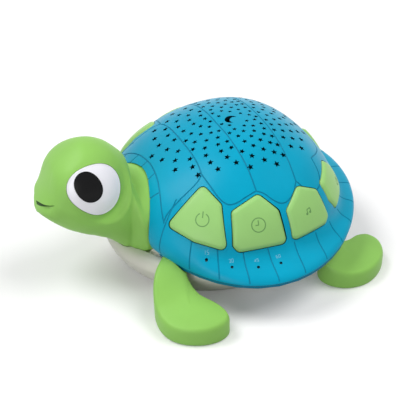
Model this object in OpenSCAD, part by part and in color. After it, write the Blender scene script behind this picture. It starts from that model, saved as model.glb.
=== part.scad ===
// Turtle night light: a perforated shell that throws stars, four push
// scutes on its left flank, a belly with a speaker and three cells, a
// fixed head and four flippers.  The head looks along -Y, +X is the
// turtle's left side and the belly rests on z = 0.

/* [Shell] */
// Half width of the dome at its foot
dome_half_w = 70.7; // [68:0.1:74]
// Reach of the dome towards the head, measured at its foot
dome_front = 80.3; // [77:0.1:83]
// Reach of the dome towards the tail, measured at its foot
dome_rear = 56.9; // [55:0.1:60]
// Height of the foot of the dome
dome_foot_z = 37.3; // [36:0.1:39]
// Height of the top of the dome
dome_top_z = 81; // [78:0.5:86]
// Wall of the upper casing
shell_wall = 2.2; // [1.8:0.1:2.6]
// Half width of the shell at its rim
rim_half_w = 88; // [84:0.5:92]
// Reach of the rim towards the head
rim_front = 69.7; // [68:0.1:72]
// Reach of the rim towards the tail
rim_rear = 69.7; // [67:0.1:74]
// Mean height of the rim
rim_z = 27.8; // [27:0.1:29]
// Thickness of the ring that closes the brim from below
ring_t = 1.8; // [1.5:0.1:2.2]

/* [Neck opening] */
// Half width of the arch that the neck comes out of
arch_half_w = 32; // [31.8:0.1:32.6]
// Height where the sides of the arch start to curve in
arch_spring_z = 35.5; // [35:0.1:36.5]
// Rise of the arch above that height
arch_rise = 25; // [24.9:0.1:26]

/* [Star field] */
// Tip radius of the stars next to the moon
star_small = 1.75; // [1.4:0.05:2]
// Tip radius of the stars in the outermost ring
star_large = 2.5; // [2.2:0.05:3]
// Distance between two rings of stars
star_pitch = 5.6; // [5.2:0.1:5.9]
// Radius of the crescent moon
moon_r = 2.9; // [2.4:0.1:3.4]
// Radius of a pinhole over an indicator light
pin_r = 1; // [0.8:0.05:1.3]

/* [Scutes and buttons] */
// How far a scute stands above the shell
scute_proud = 1.4; // [1:0.1:2]
// Radius of the domed face of a scute
scute_face_r = 54; // [48:1:62]
// Corner radius of a scute
scute_corner_r = 3; // [2.4:0.1:3.6]
// Bevel around the face of a scute
scute_bevel = 1.1; // [0.6:0.1:1.4]
// Gap between a scute and its window
scute_gap = 0.4; // [0.3:0.05:0.6]
// Wall of a scute
scute_wall = 1.8; // [1.4:0.1:2.2]
// Travel of a button
button_travel = 1.2; // [0.8:0.1:1.5]
// Radius of the post under a button
post_r = 2.5; // [2:0.1:3]

/* [Head] */
// Wall of the head
head_wall = 2.4; // [2:0.1:3]
// Height of the middle of the head
head_z = 62.5; // [61:0.5:64]
// Distance of the middle of the head in front of the dome's top
head_reach = 96; // [95:0.5:98]
// Radius of an eye
eye_r = 14.6; // [13:0.1:15.4]
// Radius of a pupil
pupil_r = 8.3; // [7:0.1:9]
// Half width of the neck where it enters the shell
neck_half_w = 30.3; // [29:0.1:30.4]
// Half height of the neck there
neck_half_h = 21.1; // [20:0.1:21.2]
// Height of the neck's axis there
neck_z = 38.5; // [38.2:0.1:38.6]

/* [Belly] */
// Distance of the belly's centre in front of the dome's top
belly_y = 18; // [16:0.5:20]
// Radius of the flat that the belly stands on
belly_flat_r = 50; // [49:0.5:53]
// Largest radius of the belly
belly_r = 64.5; // [63:0.5:66]
// Wall of the lower casing
belly_wall = 2.2; // [1.8:0.1:2.6]
// Thickness of the belly's floor
floor_t = 2.5; // [2.3:0.1:3]
// Radius of the spigot that enters the ring under the brim
spigot_r = 55; // [54:0.1:56]

/* [Power and sound] */
// Diameter of a cell
cell_d = 10.5; // [10.2:0.1:10.7]
// Length of a cell
cell_l = 44.5; // [43.5:0.5:45]
// Diameter of the speaker
speaker_d = 36; // [32:0.5:37]
// Radius of a sound hole
sound_r = 1.25; // [1:0.05:1.5]
// Travel of the tip of a switch, kept free below a button's post
switch_h = 3.5; // [3:0.1:4]

/* [Hidden] */

teal = [0.17, 0.69, 0.84];
dark_teal = [0.1, 0.55, 0.68];
leaf = [0.6, 0.8, 0.42];
cream = [0.93, 0.92, 0.86];
white = [0.93, 0.93, 0.95];
black = [0.08, 0.08, 0.09];
board_green = [0.1, 0.42, 0.25];
steel = [0.7, 0.7, 0.72];

// the shapes are drawn round the dome's axis, and this brings the rest
// point, between the sound holes and the battery door, to the origin
home = [0, 25, 0];

// seats and running gaps
seat = 0.3;
run = 0.05;

// ---- helper functions ----
function sgnpow(v, e) = sign(v) * pow(abs(v), e);
function unit(v) = v / norm(v);
function turn(a) = a > 180 ? a - 360 : a < -180 ? a + 360 : a;

// a corner a-b-c rounded with radius r, in m steps
function corner_arc(a, b, c, r, m) =
    let (
        u = unit(a - b),
        v = unit(c - b),
        h = acos(u * v) / 2,
        o = b + unit(u + v) * r / sin(h),
        p = b + u * r / tan(h) - o,
        q = b + v * r / tan(h) - o,
        s = atan2(p.y, p.x),
        d = turn(atan2(q.y, q.x) - s)
    )
    [for (i = [0:m]) o + r * [cos(s + d * i / m), sin(s + d * i / m)]];
function rounded(pts, r, m = 4) =
    let (k = len(pts))
    [for (i = [0:k - 1])
        each corner_arc(pts[(i + k - 1) % k], pts[i], pts[(i + 1) % k], r, m)];
// a convex outline grown by g
function grown(pts, g) =
    let (k = len(pts))
    [for (i = [0:k - 1])
        let (
            u = unit(pts[(i + k - 1) % k] - pts[i]),
            v = unit(pts[(i + 1) % k] - pts[i]),
            h = acos(u * v) / 2
        )
        pts[i] - unit(u + v) * g / sin(h)];
// faces between rings of n points, first ring outermost point 1
function ring_faces(n, rings, base, flip) =
    [for (j = [0:rings - 2], i = [0:n - 1])
        let (
            a = base + j * n + i,
            b = base + j * n + (i + 1) % n,
            c = b + n,
            d = a + n
        )
        each (flip ? [[a, c, b], [a, d, c]] : [[a, b, c], [a, c, d]])];
function fan_faces(n, tip, base, flip) =
    [for (i = [0:n - 1])
        let (a = base + i, b = base + (i + 1) % n)
        flip ? [tip, a, b] : [tip, b, a]];

// ---- the dome and its brim ----
function dome_n(front) = front ? 2.16 : 2.29;
function dome_a(front) = front ? dome_front : dome_rear;
function dome_s(x, y) =
    let (n = dome_n(y < 0), a = dome_a(y < 0))
    pow(pow(abs(x) / dome_half_w, n) + pow(abs(y) / a, n), 1 / n);
function dome_h(x, y) =
    let (
        f = y < 0 ? pow(y / max(norm([x, y]), 0.01), 2) : 0,
        p = 2.35 - 0.71 * f,
        q = 1.61 - 0.22 * f,
        s = dome_s(x, y)
    )
    dome_foot_z + (dome_top_z - dome_foot_z)
        * pow(max(0, 1 - pow(s, p)), 1 / q);
// point of the dome at angle t from the head, k = 0 top, 1 foot
function dome_pt(t, k) =
    let (
        c = cos(t),
        e = 2 / dome_n(c > 0),
        x = k * dome_half_w * sgnpow(sin(t), e),
        y = -k * dome_a(c > 0) * sgnpow(c, e)
    )
    [x, y, dome_h(x, y)];
function dome_normal(x, y) =
    let (e = 0.2)
    unit([
        dome_h(x - e, y) - dome_h(x + e, y),
        dome_h(x, y - e) - dome_h(x, y + e),
        2 * e]);
// share of the dome that is left above the brim
function foot_share(t) =
    lookup(acos(cos(t)), [[0, 0.74], [34, 0.74], [42, 0.82], [50, 0.9],
        [58, 0.965], [64, 0.985], [70, 0.997], [180, 0.997]]);
// 1 where the brim drops steeply beside the neck, 0 round the sides
function front_share(t) =
    lookup(acos(cos(t)), [[0, 1], [36, 1], [64, 0], [180, 0]]);
function rim_pt(t) =
    let (
        r = cos(t) > 0 ? t - 12 * sin(2 * t) : t,
        c = cos(r)
    )
    [rim_half_w * sin(r) * (1 + 0.08 * c),
        -(c > 0 ? rim_front : rim_rear) * c,
        rim_z - 3.4 * c + 2.85 * cos(2 * r)];
function flat2(v) = [v.x, v.y, 0];
function brim_pt(t, u) =
    let (
        a = dome_pt(t, foot_share(t)),
        d = rim_pt(t),
        w = flat2(d - a),
        h = a.z - d.z,
        g = front_share(t),
        s = foot_share(t),
        f = a + 0.53 * norm(d - a) * unit(a - dome_pt(t, s - 0.004)),
        b = g * f + (1 - g) * (a + 0.3 * w - [0, 0, 0.75 * h]),
        c = d + (0.635 * g - 0.15) * w + [0, 0, (0.5 - 0.26 * g) * h],
        m = 1 - u
    )
    m * m * m * a + 3 * m * m * u * b + 3 * m * u * u * c + u * u * u * d;
// v = 0 top, 1 foot of the dome, 2 rim
function skin_pt(t, v) =
    v <= 1 ? dome_pt(t, v * foot_share(t)) : brim_pt(t, v - 1);
function skin_normal(t, v) =
    unit(cross(skin_pt(t, min(2, v + 0.02)) - skin_pt(t, v - 0.02),
        skin_pt(t + 0.5, v) - skin_pt(t - 0.5, v)));
function inset_rim(t, w) =
    let (d = rim_pt(t)) d - w * unit(flat2(d - dome_pt(t, foot_share(t))));
function inner_pt(t, v, w) =
    v >= 2 ? inset_rim(t, w) : skin_pt(t, v) - w * skin_normal(t, v);

skin_n = 40;
outer_v = [0.2, 0.4, 0.58, 0.72, 0.84, 0.93, 1,
    1.25, 1.5, 1.75, 2];
inner_v = [0.3, 0.6, 0.82, 1, 1.45, 2];

// the solid between the skin and a skin set w deeper
module skin_shell(w) {
    n = skin_n;
    no = len(outer_v);
    ni = len(inner_v);
    pts = concat(
        [[0, 0, dome_top_z]],
        [for (v = outer_v, i = [0:n - 1]) skin_pt(i * 360 / n, v)],
        [for (v = inner_v, i = [0:n - 1]) inner_pt(i * 360 / n, v, w)],
        [[0, 0, dome_top_z - w]]);
    last_o = 1 + (no - 1) * n;
    first_i = 1 + no * n;
    last_i = first_i + (ni - 1) * n;
    tip_i = first_i + ni * n;
    lip = [for (i = [0:n - 1])
        let (
            a = last_o + i,
            b = last_o + (i + 1) % n,
            c = last_i + (i + 1) % n,
            d = last_i + i
        )
        each [[a, b, c], [a, c, d]]];
    polyhedron(pts, concat(
        fan_faces(n, 0, 1, false),
        ring_faces(n, no, 1, false),
        lip,
        ring_faces(n, ni, first_i, true),
        fan_faces(n, tip_i, first_i, true)), convexity = 6);
}

// everything inside the dome, set w below its skin
module dome_core(w) {
    n = 36;
    vs = [0.3, 0.58, 0.8, 0.93, 1];
    base = 1 + len(vs) * n;
    polyhedron(concat(
        [[0, 0, dome_top_z - w]],
        [for (v = vs, i = [0:n - 1]) inner_pt(i * 360 / n, v, w)],
        [for (i = [0:n - 1])
            let (p = inner_pt(i * 360 / n, 1, w)) [p.x, p.y, 1]],
        [[0, 0, 1]]),
        concat(
            fan_faces(n, 0, 1, false),
            ring_faces(n, len(vs) + 1, 1, false),
            fan_faces(n, base + n, base, true)), convexity = 4);
}

module arch(gap) {
    w = arch_half_w + gap;
    h = arch_rise + gap;
    translate([0, -40, 0]) rotate([90, 0, 0]) linear_extrude(60)
        polygon(concat(
            [[w, 0]],
            [for (a = [0:9:180])
                [w * cos(a), arch_spring_z + h * sin(a)]],
            [[-w, 0]]));
}

// ---- scutes ----
// outline, place around the dome and share of the way down
power_outline = [[-4.2, 22.2], [7.9, 11.9], [13.2, -13.6], [-5.4, -10],
    [-22.2, -2.4]];
timer_outline = [[3, 14.6], [13.4, 4], [16.2, -15], [-12, -15.9],
    [-15.2, -12.1], [-13.4, 7.1]];
music_outline = [[-0.4, 12.6], [11.5, 6.3], [14.1, -11], [10.6, -14.4],
    [-14, -15], [-13.1, 2.8]];
volume_outline = [[6.6, 9.9], [12.4, 4], [13.4, -12.4], [-11.5, -13.4],
    [-15.6, -4.5], [-13.6, 6.7]];
rear_outline = [[0, 12.6], [12.4, 5], [13.6, -12.8], [-13.6, -12.8],
    [-12.4, 5]];
power_at = [55.5, 0.907];
timer_at = [78.8, 0.915];
music_at = [103.9, 0.915];
volume_at = [139.8, 0.912];
rear_at = [180, 0.925];
scute_outlines = [power_outline, timer_outline, music_outline,
    volume_outline, rear_outline];
scute_places = [power_at, timer_at, music_at, volume_at, rear_at];
skirt_z = -7;
lug_t = 1.6;
lug_reach = 2.2;
// top of a lug whose end is r away from the scute's middle
function lug_top(r) =
    min(skirt_z - 0.6, -r * r / 100 - 1.15 * shell_wall - 1.5);

module at_scute(at) {
    p = dome_pt(at[0], at[1]);
    n = dome_normal(p.x, p.y);
    translate(p)
        rotate([acos(n.z), 0, atan2(n.x, -n.y)])
            children();
}
module scute_prism(pts, g, z0, z1) {
    translate([0, 0, z0]) linear_extrude(z1 - z0)
        polygon(rounded(grown(pts, g), scute_corner_r + g));
}
module scute_window(pts) {
    c = grown(pts, -scute_corner_r);
    translate([0, 0, skirt_z - 2]) hull() for (p = c)
        translate(p)
            cylinder(r = scute_corner_r + scute_gap, h = 18, $fn = 20);
}
// bevels that run along each side and across each corner
module bevels(pts) {
    k = len(pts);
    for (i = [0:k - 1]) {
        a = pts[i];
        b = pts[(i + 1) % k];
        z = pts[(i + k - 1) % k];
        u = unit(b - a);
        bevel_cut((a + b) / 2, atan2(u.y, u.x), norm(b - a));
        w = unit(u + unit(a - z));
        m = unit(unit(z - a) + u);
        h = acos(unit(z - a) * u) / 2;
        bevel_cut(a + m * scute_corner_r * (1 / sin(h) - 1),
            atan2(w.y, w.x), 3);
    }
}
// cuts the edge at p, which runs at angle t and has the scute on its right
module bevel_cut(p, t, l) {
    r2 = p * p;
    z = scute_proud - r2 / (2 * scute_face_r) - scute_bevel;
    translate([p.x, p.y, z]) rotate([0, 0, t]) rotate([-52, 0, 0])
        translate([-l, -6, 0]) cube([2 * l, 12, 6]);
}
module scute_lug(p) {
    a = atan2(p.y, p.x);
    r = norm(p);
    z = lug_top(r + lug_reach);
    rotate([0, 0, a]) translate([r - 4, -1.6, z - lug_t]) {
        cube([3, 3.2, skirt_z + 1.4 - z + lug_t]);
        cube([4 + lug_reach, 3.2, lug_t]);
    }
}
// where the lower side of an outline crosses its middle
function low_edge(pts) =
    let (k = len(pts))
    min([for (i = [0:k - 1])
        let (a = pts[i], b = pts[(i + 1) % k])
        if (a.x * b.x <= 0 && a.x != b.x)
            a.y + (b.y - a.y) * a.x / (a.x - b.x)]);
module scute(pts) {
    difference() {
        intersection() {
            scute_prism(pts, 0, skirt_z, scute_proud + 1);
            translate([0, 0, scute_proud - scute_face_r])
                sphere(r = scute_face_r, $fn = 96);
        }
        intersection() {
            scute_prism(pts, -scute_wall, skirt_z - 1, scute_proud);
            translate([0, 0, scute_proud - scute_face_r])
                sphere(r = scute_face_r - scute_wall, $fn = 96);
        }
        bevels(pts);
    }
    scute_lug(pts[0] * (norm(pts[0]) - 1.4) / norm(pts[0]));
    scute_lug([0, low_edge(pts)]);
}
module post() {
    translate([0, 0, post_z])
        cylinder(r = post_r, h = scute_proud - scute_wall / 2 - post_z,
            $fn = 32);
}
post_z = -12;
tip_z = post_z - button_travel - 0.1;
tip_h = 1.5;
switch_z = tip_z - tip_h - switch_h;
pad_z = switch_z - 1.2;
pad_end = -26;
pad_r = 4;

// ---- star field ----
star_counts = [8, 12, 16, 20, 24, 26, 28];
module star(r) {
    linear_extrude(dome_top_z - dome_foot_z)
        polygon([for (i = [0:9])
            (i % 2 == 0 ? r : 0.46 * r) * [cos(36 * i), sin(36 * i)]]);
}
module star_field() {
    k = len(star_counts);
    for (j = [0:k - 1], i = [0:star_counts[j] - 1]) {
        a = (i + 0.5 * (j % 2)) * 360 / star_counts[j];
        if (j < k - 1 || abs(turn(a)) < 140)
            rotate([0, 0, a])
                translate([0, -9 - star_pitch * j, dome_foot_z + 6])
                    rotate([0, 0, 29 * i])
                        star(star_small
                            + (star_large - star_small) * j / (k - 1));
    }
}
module moon() {
    translate([-0.5, -3.6, dome_foot_z + 20]) linear_extrude(40)
        difference() {
            circle(r = moon_r, $fn = 20);
            translate([0.45 * moon_r, 0.1]) circle(r = 0.8 * moon_r, $fn = 20);
        }
}
pin_t = [57, 67, 76.7, 85];
pin_u = 0.42;
module pinholes(r) {
    for (t = pin_t)
        let (p = brim_pt(t, pin_u))
            translate([p.x, p.y, p.z - 6]) cylinder(r = r, h = 9, $fn = 12);
}

// ---- upper casing ----
screw_at = [[26, -48], [-26, -48], [14, 26.5], [-14, 26.5]];
boss_r = 4;
boss_split = 24.5;
module shell_bosses() {
    intersection() {
        dome_core(shell_wall / 2);
        for (p = screw_at) translate([p.x, p.y, boss_split + seat])
            difference() {
                cylinder(r = boss_r, h = 60, $fn = 16);
                translate([0, 0, -1]) cylinder(r = 1.6, h = 11, $fn = 12);
            }
    }
}
module shell() color(teal) translate(home) {
    difference() {
        union() {
            skin_shell(shell_wall);
            shell_bosses();
        }
        arch(0);
        for (i = [0:4]) at_scute(scute_places[i])
            scute_window(scute_outlines[i]);
        mirror([1, 0, 0]) for (i = [0:3]) at_scute(scute_places[i])
            scute_window(scute_outlines[i]);
        star_field();
        moon();
        pinholes(pin_r);
    }
}

// ---- ring that closes the brim from below ----
ring_gap = 0.2;
function ring_in(t) =
    let (
        o = inset_rim(t, 0.7),
        d = unit([o.x, o.y + belly_y])
    )
    [(spigot_r + 0.9) * d.x, (spigot_r + 0.9) * d.y - belly_y, 25.2];
module brim_ring() color(dark_teal) translate(home) difference() {
    ring_body();
    for (i = [0:3])
        let (q = pillar_at(i))
            translate([q.x, q.y, 0]) cylinder(r = 3 + seat, h = 60, $fn = 32);
}
function pillar_at(i) =
    let (p = dome_pt(scute_places[i][0], scute_places[i][1]))
    p + dome_normal(p.x, p.y) * (pad_end + 3);
module ring_body() {
    m = 42;
    t0 = 33;
    ts = [for (i = [0:m]) t0 + (360 - 2 * t0) * i / m];
    pts = [for (t = ts)
        let (
            o = inset_rim(t, 0.7) - [0, 0, ring_gap],
            c = ring_in(t),
            d = [0, 0, ring_t]
        )
        each [c, o, o - d, c - d]];
    polyhedron(pts, concat(
        [for (j = [0:m - 1], i = [0:3])
            let (
                a = 4 * j + i,
                b = 4 * j + (i + 1) % 4,
                c = b + 4,
                d = a + 4
            )
            each [[a, c, b], [a, d, c]]],
        [[0, 1, 2], [0, 2, 3]],
        [[4 * m, 4 * m + 2, 4 * m + 1], [4 * m, 4 * m + 3, 4 * m + 2]]),
        convexity = 6);
}

// ---- lower casing ----
shoulder_z = 22.9;
spigot_top = 31;
function belly_profile(g) = [
    [0, g],
    [belly_flat_r - g / 2, g],
    [belly_flat_r + 0.32 * (belly_r - belly_flat_r) - g, 1.2 + g * 0.6],
    [belly_flat_r + 0.5 * (belly_r - belly_flat_r) - g, 3.6 + g * 0.5],
    [belly_flat_r + 0.72 * (belly_r - belly_flat_r) - g, 7.4 + g * 0.2],
    [belly_r - 1.4 - g, 11.4],
    [belly_r - g, 16],
    [belly_r - 1 - g, 19 - g * 0.3],
    [belly_r - 3.5 - g, 21.7 - g * 0.7],
    [spigot_r + 2.6 - g, shoulder_z - g],
    [spigot_r - g, shoulder_z - g],
    [spigot_r - g, spigot_top + g],
    [0, spigot_top + g]];
module belly_solid(g) {
    translate([0, -belly_y, 0]) rotate_extrude($fn = 96)
        polygon(belly_profile(g));
}
// room for the neck
module neck_notch(g) {
    w = neck_half_w + g;
    h = neck_half_h + g;
    translate([0, -54, 0]) rotate([90, 0, 0]) linear_extrude(40)
        polygon(concat(
            [for (a = [180:7.5:360])
                [w * sgnpow(cos(a), neck_low),
                    neck_z + h * sgnpow(sin(a), neck_low)]],
            [[w, neck_z + 30], [-w, neck_z + 30]]));
}

bay_l = cell_l + 7;
bay_w = 3 * cell_d + 1.8;
bay_y = 2;
bay_wall = 1.6;
cell_z = 3.4;
bay_top = cell_z + cell_d + 0.6;
door_z = 0.5;
door_t = 1.8;
hinge_r = door_t / 2;
hinge_y = bay_y - bay_w / 2 - 1.2;
hinge_z = door_z + hinge_r;
door_end = bay_y + bay_w / 2 + 2.6;
door_half = bay_l / 2 + 1.8;
pin_len = 2;
door_tongue = 7.5;
door_screw_y = bay_y + bay_w / 2 + 6;

module bay_outside() {
    translate([-bay_l / 2 - bay_wall, bay_y - bay_w / 2 - bay_wall, 0.5])
        cube([bay_l + 2 * bay_wall, bay_w + 2 * bay_wall,
            bay_top + bay_wall - 0.5]);
}
module bay_inside() {
    translate([-bay_l / 2, bay_y - bay_w / 2, -1])
        cube([bay_l, bay_w, bay_top + 1]);
}
module door_room() {
    g = 0.3;
    translate([-door_half - g, hinge_y, -1])
        cube([2 * (door_half + g), door_end - hinge_y + g,
            door_z + door_t + 1.1]);
    translate([-door_half - g, hinge_y - hinge_r - g, -1])
        cube([2 * (door_half + g), hinge_r + g + 0.1,
            door_z + door_t + 1.1]);
    translate([-door_tongue - g, door_end - 1, -1])
        cube([2 * (door_tongue + g), door_screw_y + 4.6 - door_end + 1,
            door_z + door_t + 1.1]);
    translate([-door_half - g - pin_len - 0.2, hinge_y, hinge_z])
        rotate([0, 90, 0])
            cylinder(r = 0.8 + run,
                h = 2 * (door_half + g + pin_len + 0.2), $fn = 32);
}
module pillars() {
    for (i = [0:3]) {
        at = scute_places[i];
        q = pillar_at(i);
        translate([q.x, q.y, 0.6]) cylinder(r = 3, h = q.z - 0.6, $fn = 32);
        at_scute(at) translate([0, 0, pad_end])
            cylinder(r = pad_r, h = pad_z - pad_end, $fn = 32);
    }
}
stand_at = [[20, -10], [-20, -10], [20, 12], [-20, 12]];
saddle_at = [[16.5, -63.5], [-16.5, -63.5]];
speaker_y = -46;
board_z = 22;
module belly() color(cream) translate(home) {
    difference() {
        union() {
            difference() {
                belly_solid(0);
                intersection() {
                    belly_solid(belly_wall);
                    translate([-100, -150, floor_t]) cube([200, 250, 60]);
                }
            }
            intersection() {
                union() {
                    bay_outside();
                    for (p = screw_at) translate([p.x, p.y, 0.5])
                        cylinder(r = boss_r, h = boss_split - 0.5, $fn = 32);
                    for (p = saddle_at) translate([p.x, p.y, 0.5])
                        cylinder(r = 3.5, h = 30, $fn = 32);
                    for (p = stand_at)
                        translate([p.x, p.y, bay_top])
                            cylinder(r = 2.5, h = board_z - bay_top, $fn = 32);
                    translate([0, door_screw_y, 0.5])
                        cylinder(r = 4.5, h = 9, $fn = 32);
                    translate([0, speaker_y, 0.5]) difference() {
                        cylinder(r = speaker_d / 2 + 2, h = floor_t + 1.6,
                            $fn = 64);
                        translate([0, 0, -1])
                            cylinder(r = speaker_d / 2 + seat,
                                h = floor_t + 4, $fn = 64);
                    }
                }
                belly_solid(0.4);
            }
            pillars();
            intersection() {
                neck_notch(seat + belly_wall);
                belly_solid(0);
            }
        }
        bay_inside();
        door_room();
        neck_notch(seat);
        for (p = screw_at) translate([p.x, p.y, -1]) {
            cylinder(r = 1.7, h = 40, $fn = 32);
            cylinder(r = 3.4, h = 3.2, $fn = 32);
        }
        translate([0, door_screw_y, 0])
            cylinder(r = 2.1, h = 8, $fn = 32);
        translate([0, speaker_y, -1]) {
            cylinder(r = sound_r, h = 6, $fn = 24);
            for (j = [1:3], i = [0:6 * j - 1])
                rotate([0, 0, i * 60 / j]) translate([4.2 * j, 0, 0])
                    cylinder(r = sound_r, h = 6, $fn = 24);
        }
    }
}

// ---- head ----
// distance in front of the head's middle, height of the section's
// middle above it, half height and half width of the section, and the
// power that squares its lower half
neck_low = 0.62;
head_sections = [
    [26.6, -3.8, 4, 5, 0.95],
    [25, -4, 8.2, 10.5, 0.95],
    [21, -3.6, 13.6, 16, 0.9],
    [15, -2, 19.2, 20.5, 0.88],
    [8, -0.6, 23, 24, 0.86],
    [0, -0.6, 25.2, 25.2, 0.84],
    [-7, -3.6, 27.6, 25.2, 0.8],
    [-14, -8.8, 29, 25, 0.74],
    [-19.5, -14.8, 28.5, 24.8, 0.68],
    [-23.5, -20, 25.4, 26.4, 0.64],
    [-26, -22.9, 22.5, 28.8, neck_low]];
neck_front = 68;
neck_end = 57;
neck_steps = [neck_front, 64, neck_end];
head_n = 32;
function head_ring(y, zc, h, w, g, low) =
    [for (i = [0:head_n - 1])
        let (a = 360 / head_n * i, e = sin(a) < -0.01 ? low : 0.97)
        [(w - g) * sgnpow(cos(a), e), y,
            zc + (h - g) * sgnpow(sin(a), e)]];
function head_rings(g) = concat(
    [for (s = head_sections)
        head_ring(-head_reach - s[0] + (s[0] > 20 ? g : 0),
            head_z + s[1], s[2], s[3], s[0] > 20 ? g * 0.9 : g, s[4])],
    [for (y = neck_steps)
        head_ring(-y, neck_z, neck_half_h, neck_half_w, g, neck_low)]);
module head_skin() {
    o = head_rings(0);
    q = head_rings(head_wall);
    n = head_n;
    k = len(o);
    ob = 1;
    ib = 1 + k * n;
    tip_i = ib + k * n;
    lip = [for (i = [0:n - 1])
        let (
            a = ob + (k - 1) * n + i,
            b = ob + (k - 1) * n + (i + 1) % n,
            c = ib + (k - 1) * n + (i + 1) % n,
            d = ib + (k - 1) * n + i
        )
        each [[a, b, c], [a, c, d]]];
    polyhedron(concat(
        [[0, -head_reach - head_sections[0][0] - 0.7,
            head_z + head_sections[0][1]]],
        [for (r = o) each r],
        [for (r = q) each r],
        [[0, -head_reach - head_sections[0][0] - 0.7 + head_wall * 1.4,
            head_z + head_sections[0][1]]]),
        concat(
            fan_faces(n, 0, ob, false),
            ring_faces(n, k, ob, false),
            lip,
            ring_faces(n, k, ib, true),
            fan_faces(n, tip_i, ib, true)), convexity = 6);
}
eye_ball_r = 25.6;
eye_seat = 18.6;
module at_eye() {
    translate([0, 1.4 - head_reach, head_z]) rotate([0, 72, 3])
        children();
}
module at_pupil() {
    translate([0, 1.4 - head_reach, head_z]) rotate([0, 68, -7])
        children();
}
module head_eye_room() {
    at_eye() translate([0, 0, eye_seat])
        cylinder(r = eye_r + seat, h = 20, $fn = 64);
}
module head_eye_seat() {
    at_eye() translate([0, 0, eye_seat - 3.4]) difference() {
        cylinder(r = eye_r + 1, h = 3.6, $fn = 64);
        translate([0, 0, -1]) cylinder(r = eye_r - 4, h = 6, $fn = 64);
    }
}
module head() color(leaf) translate(home) {
    difference() {
        union() {
            head_skin();
            head_eye_seat();
            mirror([1, 0, 0]) head_eye_seat();
        }
        head_eye_room();
        mirror([1, 0, 0]) head_eye_room();
    }
}
module eye_white() color(white) {
    difference() {
        intersection() {
            at_eye() translate([0, 0, eye_seat])
                cylinder(r = eye_r, h = 20, $fn = 96);
            at_eye() sphere(r = eye_ball_r + 0.2, $fn = 96);
        }
        at_eye() intersection() {
            sphere(r = eye_ball_r - 2.6, $fn = 96);
            cylinder(r = eye_r - 4, h = 40, $fn = 96);
        }
        at_pupil() translate([0, 0, eye_ball_r - 1.2])
            cylinder(r = pupil_r + 0.1, h = 10, $fn = 96);
    }
}
module pupil() color(black) {
    intersection() {
        at_pupil() translate([0, 0, eye_ball_r - 1.2])
            cylinder(r = pupil_r, h = 10, $fn = 96);
        at_pupil() sphere(r = eye_ball_r + 0.6, $fn = 96);
    }
}
module eye_white_left() { translate(home) eye_white(); }
module eye_white_right() { translate(home) mirror([1, 0, 0]) eye_white(); }
module pupil_left() { translate(home) pupil(); }
module pupil_right() { translate(home) mirror([1, 0, 0]) pupil(); }

// ---- flippers ----
front_plan = [[42, -66.5], [50, -73], [60, -77.5], [71, -78.5],
    [80, -76], [87, -69.5], [91.5, -60], [92, -51], [88.5, -44.5],
    [82, -43.8], [74, -46.8], [66, -52.4], [58, -55.4], [50, -55.2],
    [42, -56.5], [38, -61]];
front_top = [[40, 28.5], [47, 27.5], [52, 25.5], [57, 22], [62, 18],
    [67, 15], [74, 13.2], [92, 12]];
front_under = [[40, 15], [54, 6], [62, 0]];
front_mid = [73, -61];
rear_plan = [[61, 26], [68.5, 23.4], [76.5, 27], [82, 35], [83.3, 45],
    [80.5, 54], [74.5, 62], [67, 67.3], [58.5, 69.2], [51.7, 66],
    [51, 59], [54.5, 51], [56.5, 43], [53, 35]];
rear_top = [[66, 28], [74, 25.5], [81, 19], [88, 14], [96, 12],
    [110, 11]];
rear_under = [[50, 6], [62, 0]];
rear_mid = [68, 44];
// closed smooth curve through the points of a plan, m steps a span
function smooth_plan(p, m) =
    let (k = len(p))
    [for (i = [0:k - 1], j = [0:m - 1])
        let (
            t = j / m,
            a = p[(i + k - 1) % k],
            b = p[i],
            c = p[(i + 1) % k],
            d = p[(i + 2) % k]
        )
        0.5 * (2 * b + (c - a) * t + (2 * a - 5 * b + 4 * c - d) * t * t
            + (3 * b - a - 3 * c + d) * t * t * t)];
module paddle(plan, mid, tops, unders, slope, radial) {
    o = smooth_plan(plan, 2);
    n = len(o);
    rows = [[0.93, 0, 0], [0.985, 0, 0.5], [1, 0, 1.8], [1, 1, -3.2],
        [0.985, 1, -1.5], [0.95, 1, -0.45], [0.89, 1, 0], [0.79, 1, 0.2],
        [0.69, 1, 0.4], [0.58, 1, 0.55], [0.46, 1, 0.65], [0.25, 1, 0.75]];
    function top(p) =
        lookup(radial ? norm([p.x, p.y + belly_y]) : p.x, tops)
            + slope * (p.y - mid.y);
    pts = concat(
        [[mid.x, mid.y, lookup(mid.x, unders)]],
        [for (r = rows, q = o)
            let (p = mid + r[0] * (q - mid))
            [p.x, p.y, (r[1] == 0 ? lookup(p.x, unders) : top(p)) + r[2]]],
        [[mid.x, mid.y, top(mid) + 0.8]]);
    k = len(rows);
    polyhedron(pts, concat(
        fan_faces(n, 0, 1, true),
        ring_faces(n, k, 1, true),
        fan_faces(n, 1 + k * n, 1 + (k - 1) * n, false)), convexity = 4);
}
module belly_room() {
    belly_solid(-seat);
}
root_z = rim_z - 2.9 - ring_t;
module flipper_front() color(leaf) {
    difference() {
        paddle(front_plan, front_mid, front_top, front_under, 0.09,
            false);
        belly_room();
        translate([0, 0, root_z]) linear_extrude(20)
            polygon([for (t = [0:6:354])
                let (p = inset_rim(t, -0.6)) [p.x, p.y]]);
    }
}
module flipper_rear() color(leaf) {
    difference() {
        paddle(rear_plan, rear_mid, rear_top, rear_under, 0, true);
        belly_room();
        translate([0, 0, root_z + 1]) linear_extrude(30)
            polygon([for (t = [0:6:354])
                let (p = inset_rim(t, -0.6)) [p.x, p.y]]);
    }
}
module flipper_front_left() { translate(home) flipper_front(); }
module flipper_front_right() { translate(home) mirror([1, 0, 0]) flipper_front(); }
module flipper_rear_left() { translate(home) flipper_rear(); }
module flipper_rear_right() { translate(home) mirror([1, 0, 0]) flipper_rear(); }

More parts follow.
